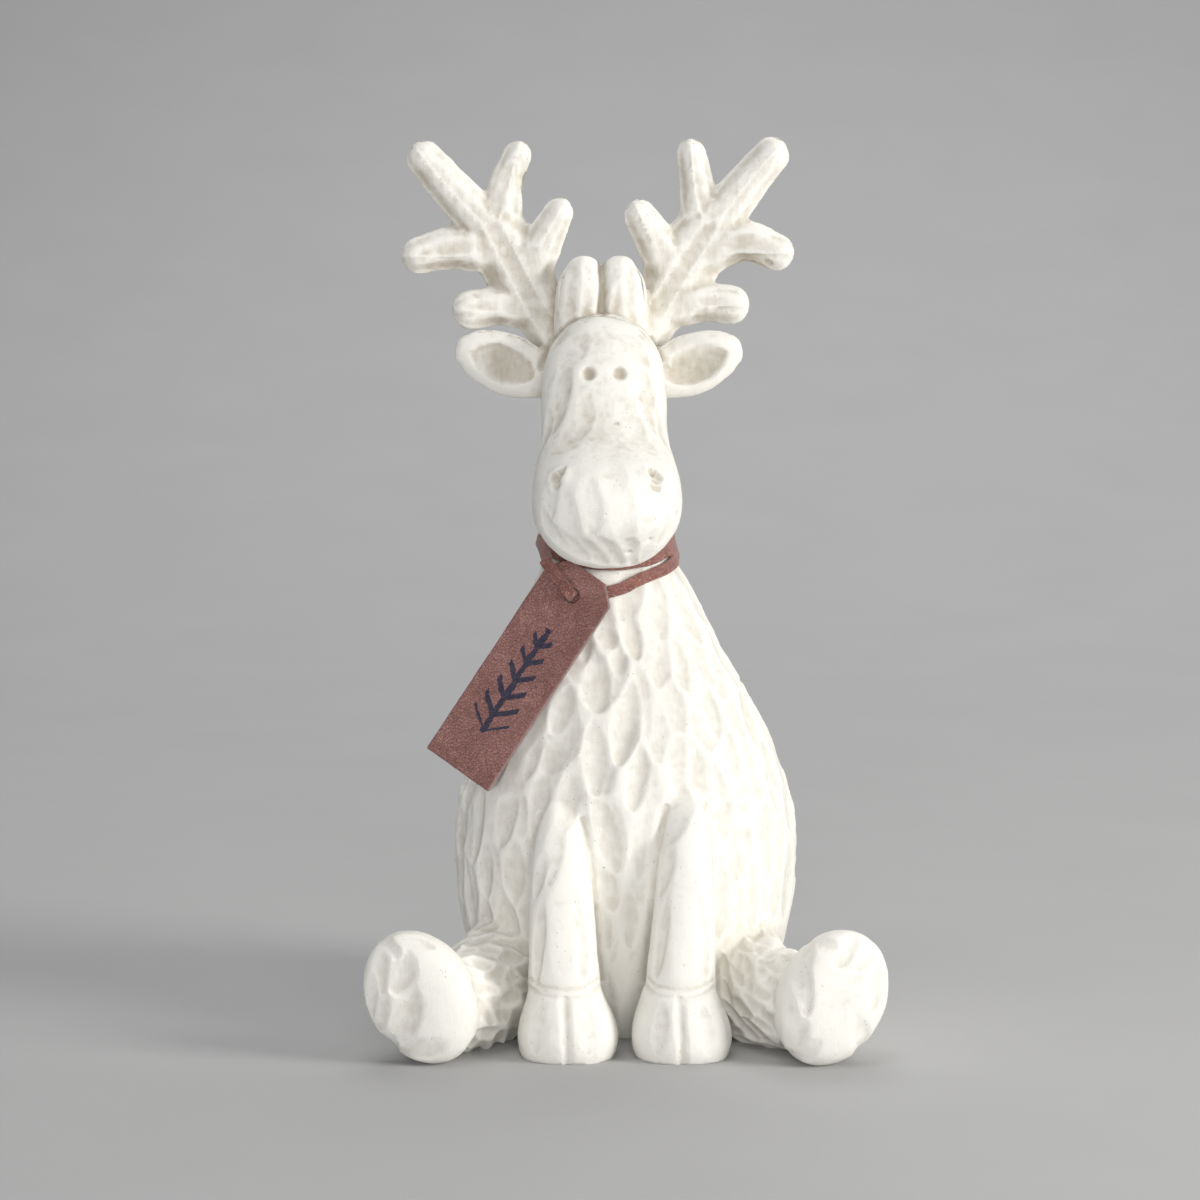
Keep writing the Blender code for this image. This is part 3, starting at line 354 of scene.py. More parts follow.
# Round hollows: x, z, half width, depth. A nostril has a raised rim and a small hole above. The last of
# the pits is a chip at the tip of an antler's tine.
EYES = [(-12.0, 221.2, 2.7, 1.5), (-1.8, 221.2, 2.7, 1.5)]
NOSTRILS = [
    (-22.0, 188.6, 5.4, -0.9), (-22.2, 189.4, 3.2, 1.9), (-22.4, 186.6, 2.6, 1.4), (-20.8, 191.2, 1.6, 1.9),
    (9.7, 188.6, 5.6, -1.0), (9.9, 189.4, 3.5, 2.5), (10.1, 186.4, 2.9, 2.0), (8.5, 191.2, 1.9, 2.2),
]
SMALL_PITS = [
    (1.3, 163.4, 1.0, 1.2), (8.3, 168.0, 1.0, 1.2), (17.0, 176.0, 1.4, 2.0), (16.7, 174.2, 1.2, 1.6),
    (48.3, 256.2, 1.6, 2.6),
]
# Soft strokes up the forelock: x, how far each leans right, half width, depth, and their ends' y and z.
FORELOCK_STROKES = [
    (-18.5, 2.2, 2.4, 0.5), (-12.6, 0.6, 2.2, 0.4), (-2.8, -0.4, 2.2, 0.4), (3.0, -2.4, 2.4, 0.5),
]
STROKE_FOOT = (-7, 238)
STROKE_TIP = (-4, 264)
# The knife cuts on the antlers: where across a tine and along it they lie, as shares, and their length and
# width as shares of the tine's length and half width.
TINE_SHARES = (-0.5, 0.42)
STEM_SHARES = (-0.62, -0.05, 0.55)
TINE_PLACE = 0.64
STEM_PLACE = 0.5
TINE_CUT_LENGTH = 0.62
TINE_CUT_WIDTH = 0.68
TINE_CUT_DEPTH = 1.35
# The fine lines above the hooves: their heights in front, how far they rise behind, half width and depth.
CORONET_LINES = (21.4, 23.8)
CORONET_RISE = 2.5
CORONET_HALF_WIDTH = 0.9
CORONET_DEPTH = 0.7

# Tints: the paint, the wash in its cuts, which also tints the painted shade, its small pits and its dark
# specks.
WHITEWASH_TINTS = ((0.86, 0.84, 0.782), (0.50, 0.445, 0.355), (0.36, 0.32, 0.27), (0.035, 0.03, 0.03))
# The leather's dark and light parts, the painted shade in its fine creases, its long creases, its cut edge
# and the ink.
LEATHER_TINTS = (
    (0.285, 0.125, 0.108), (0.365, 0.175, 0.155), (0.15, 0.062, 0.055), (0.55, 0.32, 0.28),
    (0.33, 0.27, 0.27), (0.020, 0.024, 0.062),
)
# The suede's dark and light parts and the tips of its nap.
SUEDE_TINTS = ((0.17, 0.062, 0.054), (0.27, 0.115, 0.092), (0.52, 0.31, 0.25))
PAPER_TINTS = ((0.44, 0.44, 0.44), (0.47, 0.47, 0.47))
# The sprig drawn on the tag, in millimetres: its foot above the tag's end, its length, the needles' spacing.
SPRIG_FOOT = 15.0
SPRIG_LENGTH = 41.0
NEEDLE_SPACING = 6.8

# The studio: the paper's size, the height of its wall and how widely it sweeps up.
FLOOR_SIZE = 8.0
WALL_HEIGHT = 5.0
FLOOR_SWEEP = 3.2
# Soft boxes: place, the point each faces, size, power and tint.
LIGHTS = {
    "key light": ((1.35, -0.60, 0.55), (0.0, 0.0, 0.12), 0.55, 18.5, (1.0, 0.985, 0.955)),
    "front light": ((0.10, -1.4, 0.20), (0.0, 0.0, 0.05), 0.6, 8.8, (1.0, 1.0, 1.0)),
    "top light": ((-0.2, -0.3, 1.6), (0.0, 0.0, 0.14), 0.8, 4.5, (1.0, 1.0, 1.0)),
    "left light": ((-1.3, -0.8, 0.35), (0.0, 0.0, 0.06), 0.5, 3.2, (0.97, 0.98, 1.0)),
    "backdrop light": ((0.2, 1.35, 1.8), (0.2, 1.5, 0.0), 1.6, 24.0, (1.0, 1.0, 1.0)),
}
AIR_TINT = (0.97, 0.98, 1.0)
AIR_STRENGTH = 0.15
CAMERA_TARGET = (-0.0084, 0.00984, 0.14305)
CAMERA_DISTANCE = 1.3
CAMERA_RISE = math.radians(6.0)
CAMERA_LENS = 114.8


def scaled(points):
    """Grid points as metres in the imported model's frame."""
    return (np.asarray(points, float) - (*GRID_ORIGIN, 0.0)) * UNIT


def on_grid(points):
    """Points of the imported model's frame on the grid."""
    return np.asarray(points, float) / UNIT + (*GRID_ORIGIN, 0.0)


def curve_through(stations, steps):
    """The stations again with a smooth curve's points between them."""
    rows = np.asarray(stations, float)
    padded = np.vstack([2 * rows[0] - rows[1], rows, 2 * rows[-1] - rows[-2]])
    found = []
    for i in range(len(rows) - 1):
        p0, p1, p2, p3 = padded[i : i + 4]
        for t in np.arange(steps) / steps:
            a = 2 * p1
            b = (p2 - p0) * t
            c = (2 * p0 - 5 * p1 + 4 * p2 - p3) * t**2
            d = (3 * p1 - p0 - 3 * p2 + p3) * t**3
            found.append((a + b + c + d) / 2)
    found.append(rows[-1])
    return np.array(found)


def unit(vector):
    vector = np.asarray(vector, float)
    return vector / np.linalg.norm(vector)


def opened_form(name):
    """A new object at the origin with an empty mesh, in edit mode."""
    bpy.ops.object.select_all(action="DESELECT")
    bpy.ops.mesh.primitive_plane_add(size=UNIT, location=(0, 0, 0))
    form = bpy.context.active_object
    form.name = name
    bpy.ops.object.mode_set(mode="EDIT")
    bpy.ops.mesh.select_all(action="SELECT")
    bpy.ops.mesh.delete(type="VERT")
    return form


def add_ring(form, middle, first, second, section):
    """A circle that is tilted into the plane of two axes and then drawn out to its section's points."""
    turn = Matrix((first, second, np.cross(first, second))).transposed().to_euler()
    bpy.ops.mesh.primitive_circle_add(vertices=len(section), radius=UNIT, location=middle, rotation=turn)
    bm = bmesh.from_edit_mesh(form.data)
    bm.verts.ensure_lookup_table()
    for vert, (across, along) in zip(bm.verts[-len(section) :], section):
        vert.co = Vector(middle + first * across + second * along)


def closed_form():
    """Bridges the rings in order, fills both ends and leaves edit mode."""
    bpy.ops.mesh.select_all(action="SELECT")
    bpy.ops.mesh.bridge_edge_loops()
    bpy.ops.mesh.fill_holes(sides=0)
    bpy.ops.mesh.select_all(action="SELECT")
    bpy.ops.mesh.normals_make_consistent(inside=False)
    bpy.ops.object.mode_set(mode="OBJECT")


def oval(sides, power=2.0):
    """Points of a circle of radius 1, squarer for a power over 2."""
    angles = np.linspace(0, 2 * math.pi, sides, endpoint=False)
    across = np.sign(np.cos(angles)) * np.abs(np.cos(angles)) ** (2 / power)
    along = np.sign(np.sin(angles)) * np.abs(np.sin(angles)) ** (2 / power)
    return np.column_stack([across, along])


def whittled(sides, flats):
    """Points of a soft polygon about a circle of radius 1, as a knife leaves a stick."""
    angles = np.linspace(0, 2 * math.pi, sides, endpoint=False)
    step = 2 * math.pi / flats
    polygon = math.cos(step / 2) / np.cos(np.mod(angles, step) - step / 2)
    reach = 0.10 + 0.90 * polygon * 1.05
    return np.column_stack([np.cos(angles) * reach, np.sin(angles) * reach])


def level_form(name, stations, power, shift=0.0):
    """A form of level rings."""
    form = opened_form(name)
    section = oval(RING_SIDES, power)
    for z, x, half, front, back in curve_through(stations, RING_STEPS):
        middle = scaled((x + shift, (front + back) / 2, z))
        sizes = np.array((half, (back - front) / 2)) * UNIT
        add_ring(form, middle, np.array((1.0, 0, 0)), np.array((0, 1.0, 0)), section * sizes)
    closed_form()
    return form


def limb(name, stations, flats=0):
    """A form along a path with domed ends. With flats it looks whittled."""
    rows = curve_through(stations, LIMB_STEPS)
    tangents = np.gradient(rows[:, :3], axis=0)
    tangents /= np.linalg.norm(tangents, axis=1)[:, None]
    section = whittled(LIMB_SIDES, flats) if flats else oval(LIMB_SIDES)
    turns = [math.pi / 2 * k / LIMB_STEPS for k in range(1, LIMB_STEPS)]
    rings = [(rows[0], tangents[0], -turn) for turn in reversed(turns)]
    rings += [(row, tangent, 0.0) for row, tangent in zip(rows, tangents)]
    rings += [(rows[-1], tangents[-1], turn) for turn in turns]
    form = opened_form(name)
    for row, tangent, turn in rings:
        side = unit(np.cross(tangent, (0, 1, 0)))
        middle = scaled(row[:3] + tangent * math.sin(turn) * row[4])
        sizes = row[3:] * math.cos(turn) * UNIT
        add_ring(form, middle, side, np.cross(side, tangent), section * sizes)
    closed_form()
    return form


def rounded_block(name, middle, axes, halves, power, steps=12):
    """A cushion-shaped form: rings along the third axis that draw in by a power curve at both ends."""
    first, second, third = (unit(axis) for axis in axes)
    form = opened_form(name)
    for turn in np.linspace(-math.pi / 2, math.pi / 2, 2 * steps + 1)[1:-1]:
        along = math.copysign(abs(math.sin(turn)) ** (2 / power), math.sin(turn))
        size = math.cos(turn) ** (2 / power)
        place = np.asarray(middle, float) + third * halves[2] * along
        add_ring(form, place, first, second, oval(LIMB_SIDES) * size * np.array(halves[:2]))
    closed_form()
    return form


def mirrored(stations, plane_x):
    """The stations on the other side of an upright plane."""
    return [(2 * plane_x - x, y, z, half, deep) for x, y, z, half, deep in stations]


def hind_foot(side):
    """The pad of a hind foot, with its axes across, up and out of the sole."""
    middle, faces, half, high, thick, lean = FEET[side]
    out = Vector(faces).normalized()
    across = Vector((0, 0, 1)).cross(-out).normalized()
    up = (-out).cross(across)
    turn = Matrix.Rotation(math.radians(lean), 3, -out)
    halves = np.array((half, high, thick)) * UNIT
    axes = (turn @ across, turn @ -up, out)
    return rounded_block("foot", scaled(middle), axes, halves, FEET_POWER)


def rough_forms():
    """Every form of the figurine, each closed and overlapping its neighbours."""
    forms = [
        level_form("body", BODY_RINGS, power=2.1),
        level_form("head", HEAD_RINGS, power=2.35),
        limb("ear", EAR),
        limb("ear", mirrored(EAR, EAR_MIRROR_X)),
        limb("tuft", TUFT),
        limb("tuft", mirrored(TUFT, TUFT_MIRROR_X)),
        limb("tail", TAIL),
    ]
    for side in ("right", "left"):
        forms.append(limb("foreleg", FORELEGS[side]))
        forms.append(limb("thigh", THIGHS[side]))
        forms.append(level_form("hoof", HOOF_RINGS, shift=HOOF_MIDDLES[side], power=2.2))
        forms.append(hind_foot(side))
        forms += [limb("tine", tine, flats=6) for tine in ANTLERS[side]]
    return forms


def joined(name, forms):
    """The forms as one object."""
    bpy.ops.object.select_all(action="DESELECT")
    for form in forms:
        form.select_set(True)
    bpy.context.view_layer.objects.active = forms[0]
    bpy.ops.object.join()
    piece = bpy.context.active_object
    piece.name = name
    piece.data.name = name
    return piece


def modified(piece, kind, **settings):
    """Adds a modifier to the piece and applies it."""
    bpy.context.view_layer.objects.active = piece
    bpy.ops.object.modifier_add(type=kind)
    modifier = piece.modifiers[-1]
    for setting, value in settings.items():
        setattr(modifier, setting, value)
    bpy.ops.object.modifier_apply(modifier=modifier.name)


def one_skin(piece, voxel, softenings):
    """One skin over overlapping forms, with its inner corners softened."""
    modified(piece, "REMESH", mode="VOXEL", voxel_size=voxel)
    modified(piece, "SMOOTH", factor=0.5, iterations=softenings)


def vertex_places(mesh):
    places = np.empty(len(mesh.vertices) * 3, np.float32)
    mesh.vertices.foreach_get("co", places)
    return places.reshape(-1, 3).astype(float)


def vertex_normals(mesh):
    normals = np.empty(len(mesh.vertices) * 3, np.float32)
    mesh.vertex_normals.foreach_get("vector", normals)
    return normals.reshape(-1, 3).astype(float)


def move_vertices(mesh, places):
    mesh.vertices.foreach_set("co", places.astype(np.float32).ravel())
    mesh.update()


def surface_of(piece):
    """The piece's surface, to be asked where a ray meets it."""
    return BVHTree.FromPolygons(vertex_places(piece.data), [tuple(p.vertices) for p in piece.data.polygons])


def ring_at(height):
    """Middle x, half width, middle y and half depth of the body at a height."""
    rings = np.array(BODY_RINGS, float)
    x, half, front, back = (np.interp(height, rings[:, 0], rings[:, k]) for k in range(1, 5))
    return x, half, (front + back) / 2, (back - front) / 2


def body_point(angle, height):
    """A grid point on the body and the way its surface faces. Angle 0 is the back and 90 degrees is -x."""
    x, half, y, deep = ring_at(height)
    point = np.array([x - half * math.sin(angle), y + deep * math.cos(angle), height])
    above = ring_at(height + 2)[1]
    below = ring_at(height - 2)[1]
    out = unit((-math.sin(angle) / half, math.cos(angle) / deep, 0.0))
    out[2] = (below - above) / 4
    return point, unit(out)


def scoop(middle, out, along, half_long, half_wide, depth):
    """One cut of the gouge: an almond hollow at a point of the surface."""
    out = unit(out)
    along = np.asarray(along, float)
    along = unit(along - out * np.dot(along, out))
    return np.asarray(middle, float), out, along, np.cross(out, along), half_long, half_wide, depth


def from_the_front(surface, x, z):
    """The grid point where a ray from the front meets the figure, and the way the surface faces there."""
    spot, normal = surface.ray_cast(Vector(scaled((x, -150.0, z))), Vector((0, 1, 0)))[:2]
    return on_grid(spot), np.array(normal)


def front_scoops(surface, cuts, longer=1.0, wider=1.0):
    """Cuts seen from the front, each set where a ray from there meets the figure."""
    found = []
    for x, z, half_long, half_wide, depth, lean in cuts:
        spot, facing = from_the_front(surface, x, z)
        lean = math.radians(lean)
        along = (math.sin(lean), 0, math.cos(lean))
        found.append(scoop(spot, facing, along, half_long * longer, half_wide * wider, depth))
    return found


def on_a_foreleg(point):
    aside = min(abs(point[0] - middle) for middle in FORELEG_MIDDLES)
    return point[1] < FORELEG_FRONT and point[2] < FORELEG_TOP and aside < FORELEG_REACH


def by_a_thigh(point):
    aside, front, top = THIGH_ZONE
    return abs(point[0]) > aside and point[1] < front and point[2] < top


def in_front(point):
    return point[1] < FRONT_ZONE[0] and point[2] > FRONT_ZONE[1]


def body_scoops():
    """Staggered rows of upright cuts round the body, as feathers lie."""
    dice = random.Random(7)
    found = []
    for row, height in enumerate(np.arange(FIRST_ROW, LAST_ROW, ROW_RISE)):
        half, deep = ring_at(height)[1::2]
        count = max(12, round(math.pi * (half + deep) / CUT_SPACING))
        for k in range(count):
            angle = 2 * math.pi * (k + 0.5 * (row % 2) + dice.uniform(-0.22, 0.22)) / count
            point, out = body_point(angle, height + dice.uniform(-5.5, 5.5))
            lean = dice.uniform(-0.26, 0.26)
            long, wide, depth = dice.uniform(10.0, 15.5), dice.uniform(4.8, 7.4), dice.uniform(1.0, 2.1)
            if in_front(point):
                wide, depth = wide * 0.8, depth * FRONT_SHARE
            if not on_a_foreleg(point) and not by_a_thigh(point):
                sideways = np.cross(out, (0, 0, 1))
                found.append(scoop(point, out, np.array((0, 0, 1)) + lean * sideways, long, wide, depth))
    return found


def nape_scoops():
    """Long cuts down the back of the head and neck."""
    dice = random.Random(3)
    found = []
    for row, height in enumerate(NAPE_ROWS):
        for k in range(-4, 5):
            angle = math.radians(NAPE_SPACING * (k + 0.5 * (row % 2)) + dice.uniform(-3, 3))
            point, out = body_point(angle, height + dice.uniform(-4, 4))
            along = (dice.uniform(-0.15, 0.15), 0, 1)
            long, wide, depth = dice.uniform(11.5, 16.0), dice.uniform(3.8, 5.0), dice.uniform(0.9, 1.4)
            found.append(scoop(point, out, along, long, wide, depth))
    return found


def thigh_scoops(side, seed):
    """Short cuts all over a thigh, as a small gouge leaves them."""
    dice = random.Random(seed)
    found = []
    rows = curve_through(THIGHS[side][1:], 4)
    for station in range(1, len(rows) - 1):
        row = rows[station]
        along = unit(rows[station + 1, :3] - rows[station - 1, :3])
        first = unit(np.cross(along, (0, 1, 0)))
        second = np.cross(first, along)
        for k in range(THIGH_CUTS):
            turn = 2 * math.pi * (k + 0.5 * (station % 2) + dice.uniform(-0.3, 0.3)) / THIGH_CUTS
            out = math.cos(turn) * first + math.sin(turn) * second
            point = row[:3] + math.cos(turn) * first * row[3] + math.sin(turn) * second * row[4]
            lean = along + np.cross(out, along) * dice.uniform(-1.3, 0.2)
            sizes = dice.uniform(6.5, 9.5), dice.uniform(3.0, 4.4), dice.uniform(1.2, 2.0)
            found.append(scoop(point, out, lean, *sizes))
    return found


def ear_hollow(mirror):
    """The hollow in the front of an ear."""
    middle = np.array(EAR_HOLLOW)
    along = np.array(EAR_HOLLOW_RUNS)
    if mirror:
        middle[0] = 2 * EAR_MIRROR_X - middle[0]
        along[0] = -along[0]
    return scoop(middle, (0, -1, 0), along, *EAR_HOLLOW_SIZE)


def tine_cuts(side):
    """Long knife cuts along the antler's tines and down its stem, on their fronts and backs."""
    found = []
    for number, tine in enumerate(ANTLERS[side]):
        base, tip = (np.array(station[:3]) for station in (tine[0], tine[-1]))
        along = unit(tip - base)
        aside = unit(np.cross(along, (0, 1, 0)))
        length = np.linalg.norm(tip - base)
        shares, place = (STEM_SHARES, STEM_PLACE) if number == 0 else (TINE_SHARES, TINE_PLACE)
        half, deep = tine[len(tine) // 2][3:]
        sizes = TINE_CUT_LENGTH * length, TINE_CUT_WIDTH * half, TINE_CUT_DEPTH
        for share in shares:
            for front in (-1, 1):
                point = base + (tip - base) * place + aside * share * half
                point[1] += deep * math.sqrt(1 - share**2) * front
                out = aside * share * 0.8 + np.array((0, front, 0))
                found.append(scoop(point, out, -along, *sizes))
    return found


def carved(mesh, scoops):
    """Presses the scoops into the skin, pointed at the top and deepest low on the right.

    Where two meet, the deeper one wins and leaves a ridge.
    """
    points = on_grid(vertex_places(mesh))
    facing = vertex_normals(mesh)
    deepest = np.zeros(len(points))
    inward = np.zeros(points.shape)
    for middle, out, along, across, half_long, half_wide, depth in scoops:
        near = np.flatnonzero(np.abs(points - middle).max(axis=1) < half_long)
        away = points[near] - middle
        up = away @ along / half_long
        left = away @ across / half_wide
        width = np.clip(1 - up**2, 1e-4, None) ** np.where(up > 0, CUT_TOP, CUT_FOOT)
        inside = np.clip(width - left**2 / width, 0, None)
        inside *= (facing[near] @ out > 0.25) & (np.abs(away @ out) < 0.7 * half_long)
        cut = depth * inside**0.85 * (1 - CUT_LEAN * up - CUT_LEAN * left)
        better = cut > deepest[near]
        deepest[near[better]] = cut[better]
        inward[near[better]] = -out
    move_vertices(mesh, scaled(points + inward * deepest[:, None]))


def grooved(mesh, grooves):
    """Presses grooves into the skin: each a line of points with a half width, a depth and a way out."""
    points = on_grid(vertex_places(mesh))
    facing = vertex_normals(mesh)
    for line, half, depth, out in grooves:
        line = np.asarray(line, float)
        out = unit(out)
        low = line.min(axis=0) - GROOVE_MARGIN
        high = line.max(axis=0) + GROOVE_MARGIN
        near = np.flatnonzero(((points > low) & (points < high)).all(axis=1))
        nearest = np.full(len(near), np.inf)
        for a, b in zip(line, line[1:]):
            run = b - a
            share = np.clip((points[near] - a) @ run / (run @ run), 0, 1)
            off = points[near] - a - share[:, None] * run
            flat = off - (off @ out)[:, None] * out
            away = np.where(np.abs(off @ out) < GROOVE_LIMIT, np.linalg.norm(flat, axis=1), np.inf)
            nearest = np.minimum(nearest, away)
        cut = depth * np.clip(1 - (nearest / half) ** 2, 0, None) * (facing[near] @ out > 0.1)
        points[near] -= cut[:, None] * out
    move_vertices(mesh, scaled(points))


def figure_grooves(surface):
    """The creases and hollows of face and forelock, the hooves' clefts and the forelegs' edges."""
    front = (0, -1, 0.1)
    found = [(PARTING, *PARTING_SIZE, front), (BROW_LINE, *BROW_SIZE, (0, -1, 0.3))]
    for x, lean, half, depth in FORELOCK_STROKES:
        found.append(([(x, *STROKE_FOOT), (x + lean, *STROKE_TIP)], half, depth, front))
    for middle in HOOF_MIDDLES.values():
        cleft = [(middle + x, y, z) for x, y, z in CLEFT]
        found.append((cleft, *CLEFT_SIZE, front))
    for leg in FORELEGS.values():
        rows = curve_through(leg[1:6], 3)
        for way in (-1, 1):
            edge = [(x + way * half, ring_at(z)[2] - ring_at(z)[3] + 1.5, z) for x, _, z, half, _ in rows]
            found.append((edge, *EDGE_SIZE, (way * 0.35, -1, 0)))
    for x, z, half, depth in EYES + NOSTRILS + SMALL_PITS:
        spot, facing = from_the_front(surface, x, z)
        found.append(([spot, spot + (0, 0, 0.1)], half, depth, facing))
    return found


def coronets(mesh):
    """Two fine lines round the front of each foreleg above its hoof, with a raised band between them."""
    points = on_grid(vertex_places(mesh))
    for middle in HOOF_MIDDLES.values():
        away = points[:, :2] - (middle - 1, SHIN_Y)
        reach = np.linalg.norm(away, axis=1)
        facing = -away[:, 1] / np.maximum(reach, 0.1)
        for height in CORONET_LINES:
            off = np.abs(points[:, 2] - height - CORONET_RISE * (1 - facing))
            cut = CORONET_DEPTH * np.clip(1 - (off / CORONET_HALF_WIDTH) ** 2, 0, None)
            cut *= reach < SHIN_REACH
            cut *= np.clip(facing * 4 - 0.4, 0, 1)
            points[:, :2] -= away / np.maximum(reach, 0.1)[:, None] * cut[:, None]
    move_vertices(mesh, scaled(points))


def roughened(mesh, size, height, seed):
    """Moves the skin in and out by a soft noise."""
    places = vertex_places(mesh)
    normals = vertex_normals(mesh)
    offset = Vector((seed, seed, seed))
    heights = [noise.fractal(Vector(place) / size + offset, 0.8, 2.1, 3) for place in places]
    move_vertices(mesh, places + normals * (np.array(heights) * height)[:, None])


def smoothed_places(mesh, places, rounds):
    """Where the vertices go when each is drawn to the middle of its neighbours again and again."""
    edges = np.empty(len(mesh.edges) * 2, np.int32)
    mesh.edges.foreach_get("vertices", edges)
    first, second = edges.reshape(-1, 2).T
    count = np.bincount(np.concatenate([first, second]), minlength=len(places))[:, None]
    for _ in range(rounds):
        total = np.zeros(places.shape)
        for axis in range(3):
            total[:, axis] += np.bincount(first, places[second, axis], len(places))
            total[:, axis] += np.bincount(second, places[first, axis], len(places))
        places = (places + total / count) / 2
    return places


def noted(mesh, name, values):
    """Stores a value for each vertex under a name that a material reads."""
    attribute = mesh.attributes.new(name, "FLOAT", "POINT")
    attribute.data.foreach_set("value", values.astype(np.float32))


def note_hollows(mesh, name, rounds, full):
    """Stores how far each vertex lies inside the smoothed form, 1 for the given depth and -1 for a ridge."""
    places = vertex_places(mesh)
    inside = smoothed_places(mesh, places, rounds) - places
    noted(mesh, name, np.clip((inside * vertex_normals(mesh)).sum(axis=1) / full, -1, 1))


def note_dabs_and_shade(mesh, surface):
    """Stores where the brush left more of the washes, with painted shade, in eyes, nostrils and pits, and
    where painted shade lies in the ear hollows and on the antlers' undersides and sides to the viewer's left.
    """
    points = on_grid(vertex_places(mesh))
    dabs_and_shade = np.zeros(len(points))
    # Washes with painted shade in the eyes, nostrils and pits, darker where they are deeper.
    for x, z, half, depth in EYES + NOSTRILS + SMALL_PITS:
        if depth > 0:
            away = np.linalg.norm(points - from_the_front(surface, x, z)[0], axis=1)
            dabs_and_shade = np.maximum(dabs_and_shade, np.clip(1.3 - away / half, 0, 1) * min(1.0, depth / 1.6))
    # Painted shade in the hollows of both ears.
    for x in (EAR_SHADE[0], 2 * EAR_MIRROR_X - EAR_SHADE[0]):
        away = (points - (x, *EAR_SHADE[1:])) / EAR_SHADE_SIZE
        dabs_and_shade = np.maximum(dabs_and_shade, 0.4 * np.clip(1.5 - 1.3 * np.linalg.norm(away, axis=1), 0, 1))
    # Painted shade on surfaces facing down and to the viewer's left, growing from the ears' height up into
    # the tufts and antlers.
    under = np.clip(vertex_normals(mesh) @ unit((-0.6, 0.0, -0.8)), 0, 1)
    dabs_and_shade = np.maximum(dabs_and_shade, 0.75 * under * np.clip((points[:, 2] - 222) / 20, 0, 1))
    noted(mesh, "dab_and_shade", dabs_and_shade)


def cut_flat(piece):
    """Cuts the form off level at the floor, closes the underside and drops specks that hang loose."""
    bpy.context.view_layer.objects.active = piece
    bpy.ops.object.mode_set(mode="EDIT")
    bpy.ops.mesh.select_mode(type="VERT")
    bpy.ops.mesh.select_all(action="SELECT")
    bpy.ops.mesh.bisect(
        plane_co=(0, 0, 0), plane_no=(0, 0, 1), use_fill=True, clear_inner=True, threshold=1e-6
    )
    bpy.ops.mesh.select_all(action="DESELECT")
    bm = bmesh.from_edit_mesh(piece.data)
    highest = max(bm.verts, key=lambda vert: vert.co.z)
    highest.select_set(True)
    bpy.ops.mesh.select_linked()
    bpy.ops.mesh.select_all(action="INVERT")
    bpy.ops.mesh.delete(type="VERT")
    bpy.ops.object.mode_set(mode="OBJECT")


def whitewashed_reindeer():
    """The whole figurine in one carved skin."""
    piece = joined("whitewashed_reindeer", rough_forms())
    one_skin(piece, SKIN_VOXEL, softenings=10)
    plain = surface_of(piece)
    scoops = front_scoops(plain, FRONT_CUTS, longer=1.3, wider=1.15)
    scoops += front_scoops(plain, SOLE_CUTS, longer=1.25, wider=1.2)
    scoops += front_scoops(plain, LEG_CUTS + FACE_CUTS)
    scoops += body_scoops() + nape_scoops()
    scoops += thigh_scoops("right", seed=5) + thigh_scoops("left", seed=9)
    scoops += tine_cuts("right") + tine_cuts("left") + [ear_hollow(False), ear_hollow(True)]
    carved(piece.data, scoops)
    grooved(piece.data, figure_grooves(plain))
    coronets(piece.data)
    roughened(piece.data, size=0.012, height=0.00020, seed=3.0)
    roughened(piece.data, size=0.0035, height=0.00009, seed=11.0)
    modified(piece, "SMOOTH", factor=0.5, iterations=1)
    share = CAST_TRIANGLES / (2 * len(piece.data.polygons))
    modified(piece, "DECIMATE", ratio=min(1.0, share), use_collapse_triangulate=True)
    cut_flat(piece)
    bpy.ops.object.shade_smooth()
    note_hollows(piece.data, "hollow", rounds=40, full=0.0009)
    # The fine creases: the whitewash puts both its wash and painted shade in them.
    note_hollows(piece.data, "crease", rounds=4, full=0.00012)
    note_dabs_and_shade(piece.data, plain)
    return piece


def tag_axes():
    """The tag's axes across, up its length and out of its face, and the middle of its hole's back rim."""
    out = Vector(TAG_FACES).normalized()
    down = Vector((TAG_RUNS_DOWN[0], 0, TAG_RUNS_DOWN[1]))
    up = -(down - out * down.dot(out)).normalized()
    across = up.cross(out)
    corners = [v.co for v in frame["nodes"]["leather_tag"].data.vertices]
    sides = [corner.dot(across) for corner in corners]
    top = max(corner.dot(up) for corner in corners)
    back = min(corner.dot(out) for corner in corners)
    hole = across * (min(sides) + max(sides)) / 2 + up * (top - TAG_HOLE_TO_TOP) + out * back
    return Matrix((across, up, out)).transposed(), hole


def hole_radius():
    """The hole lets the flat lace through with its clearance all round."""
    return math.hypot(LACE_WIDTH, LACE_THICKNESS) / 2 + HOLE_CLEARANCE


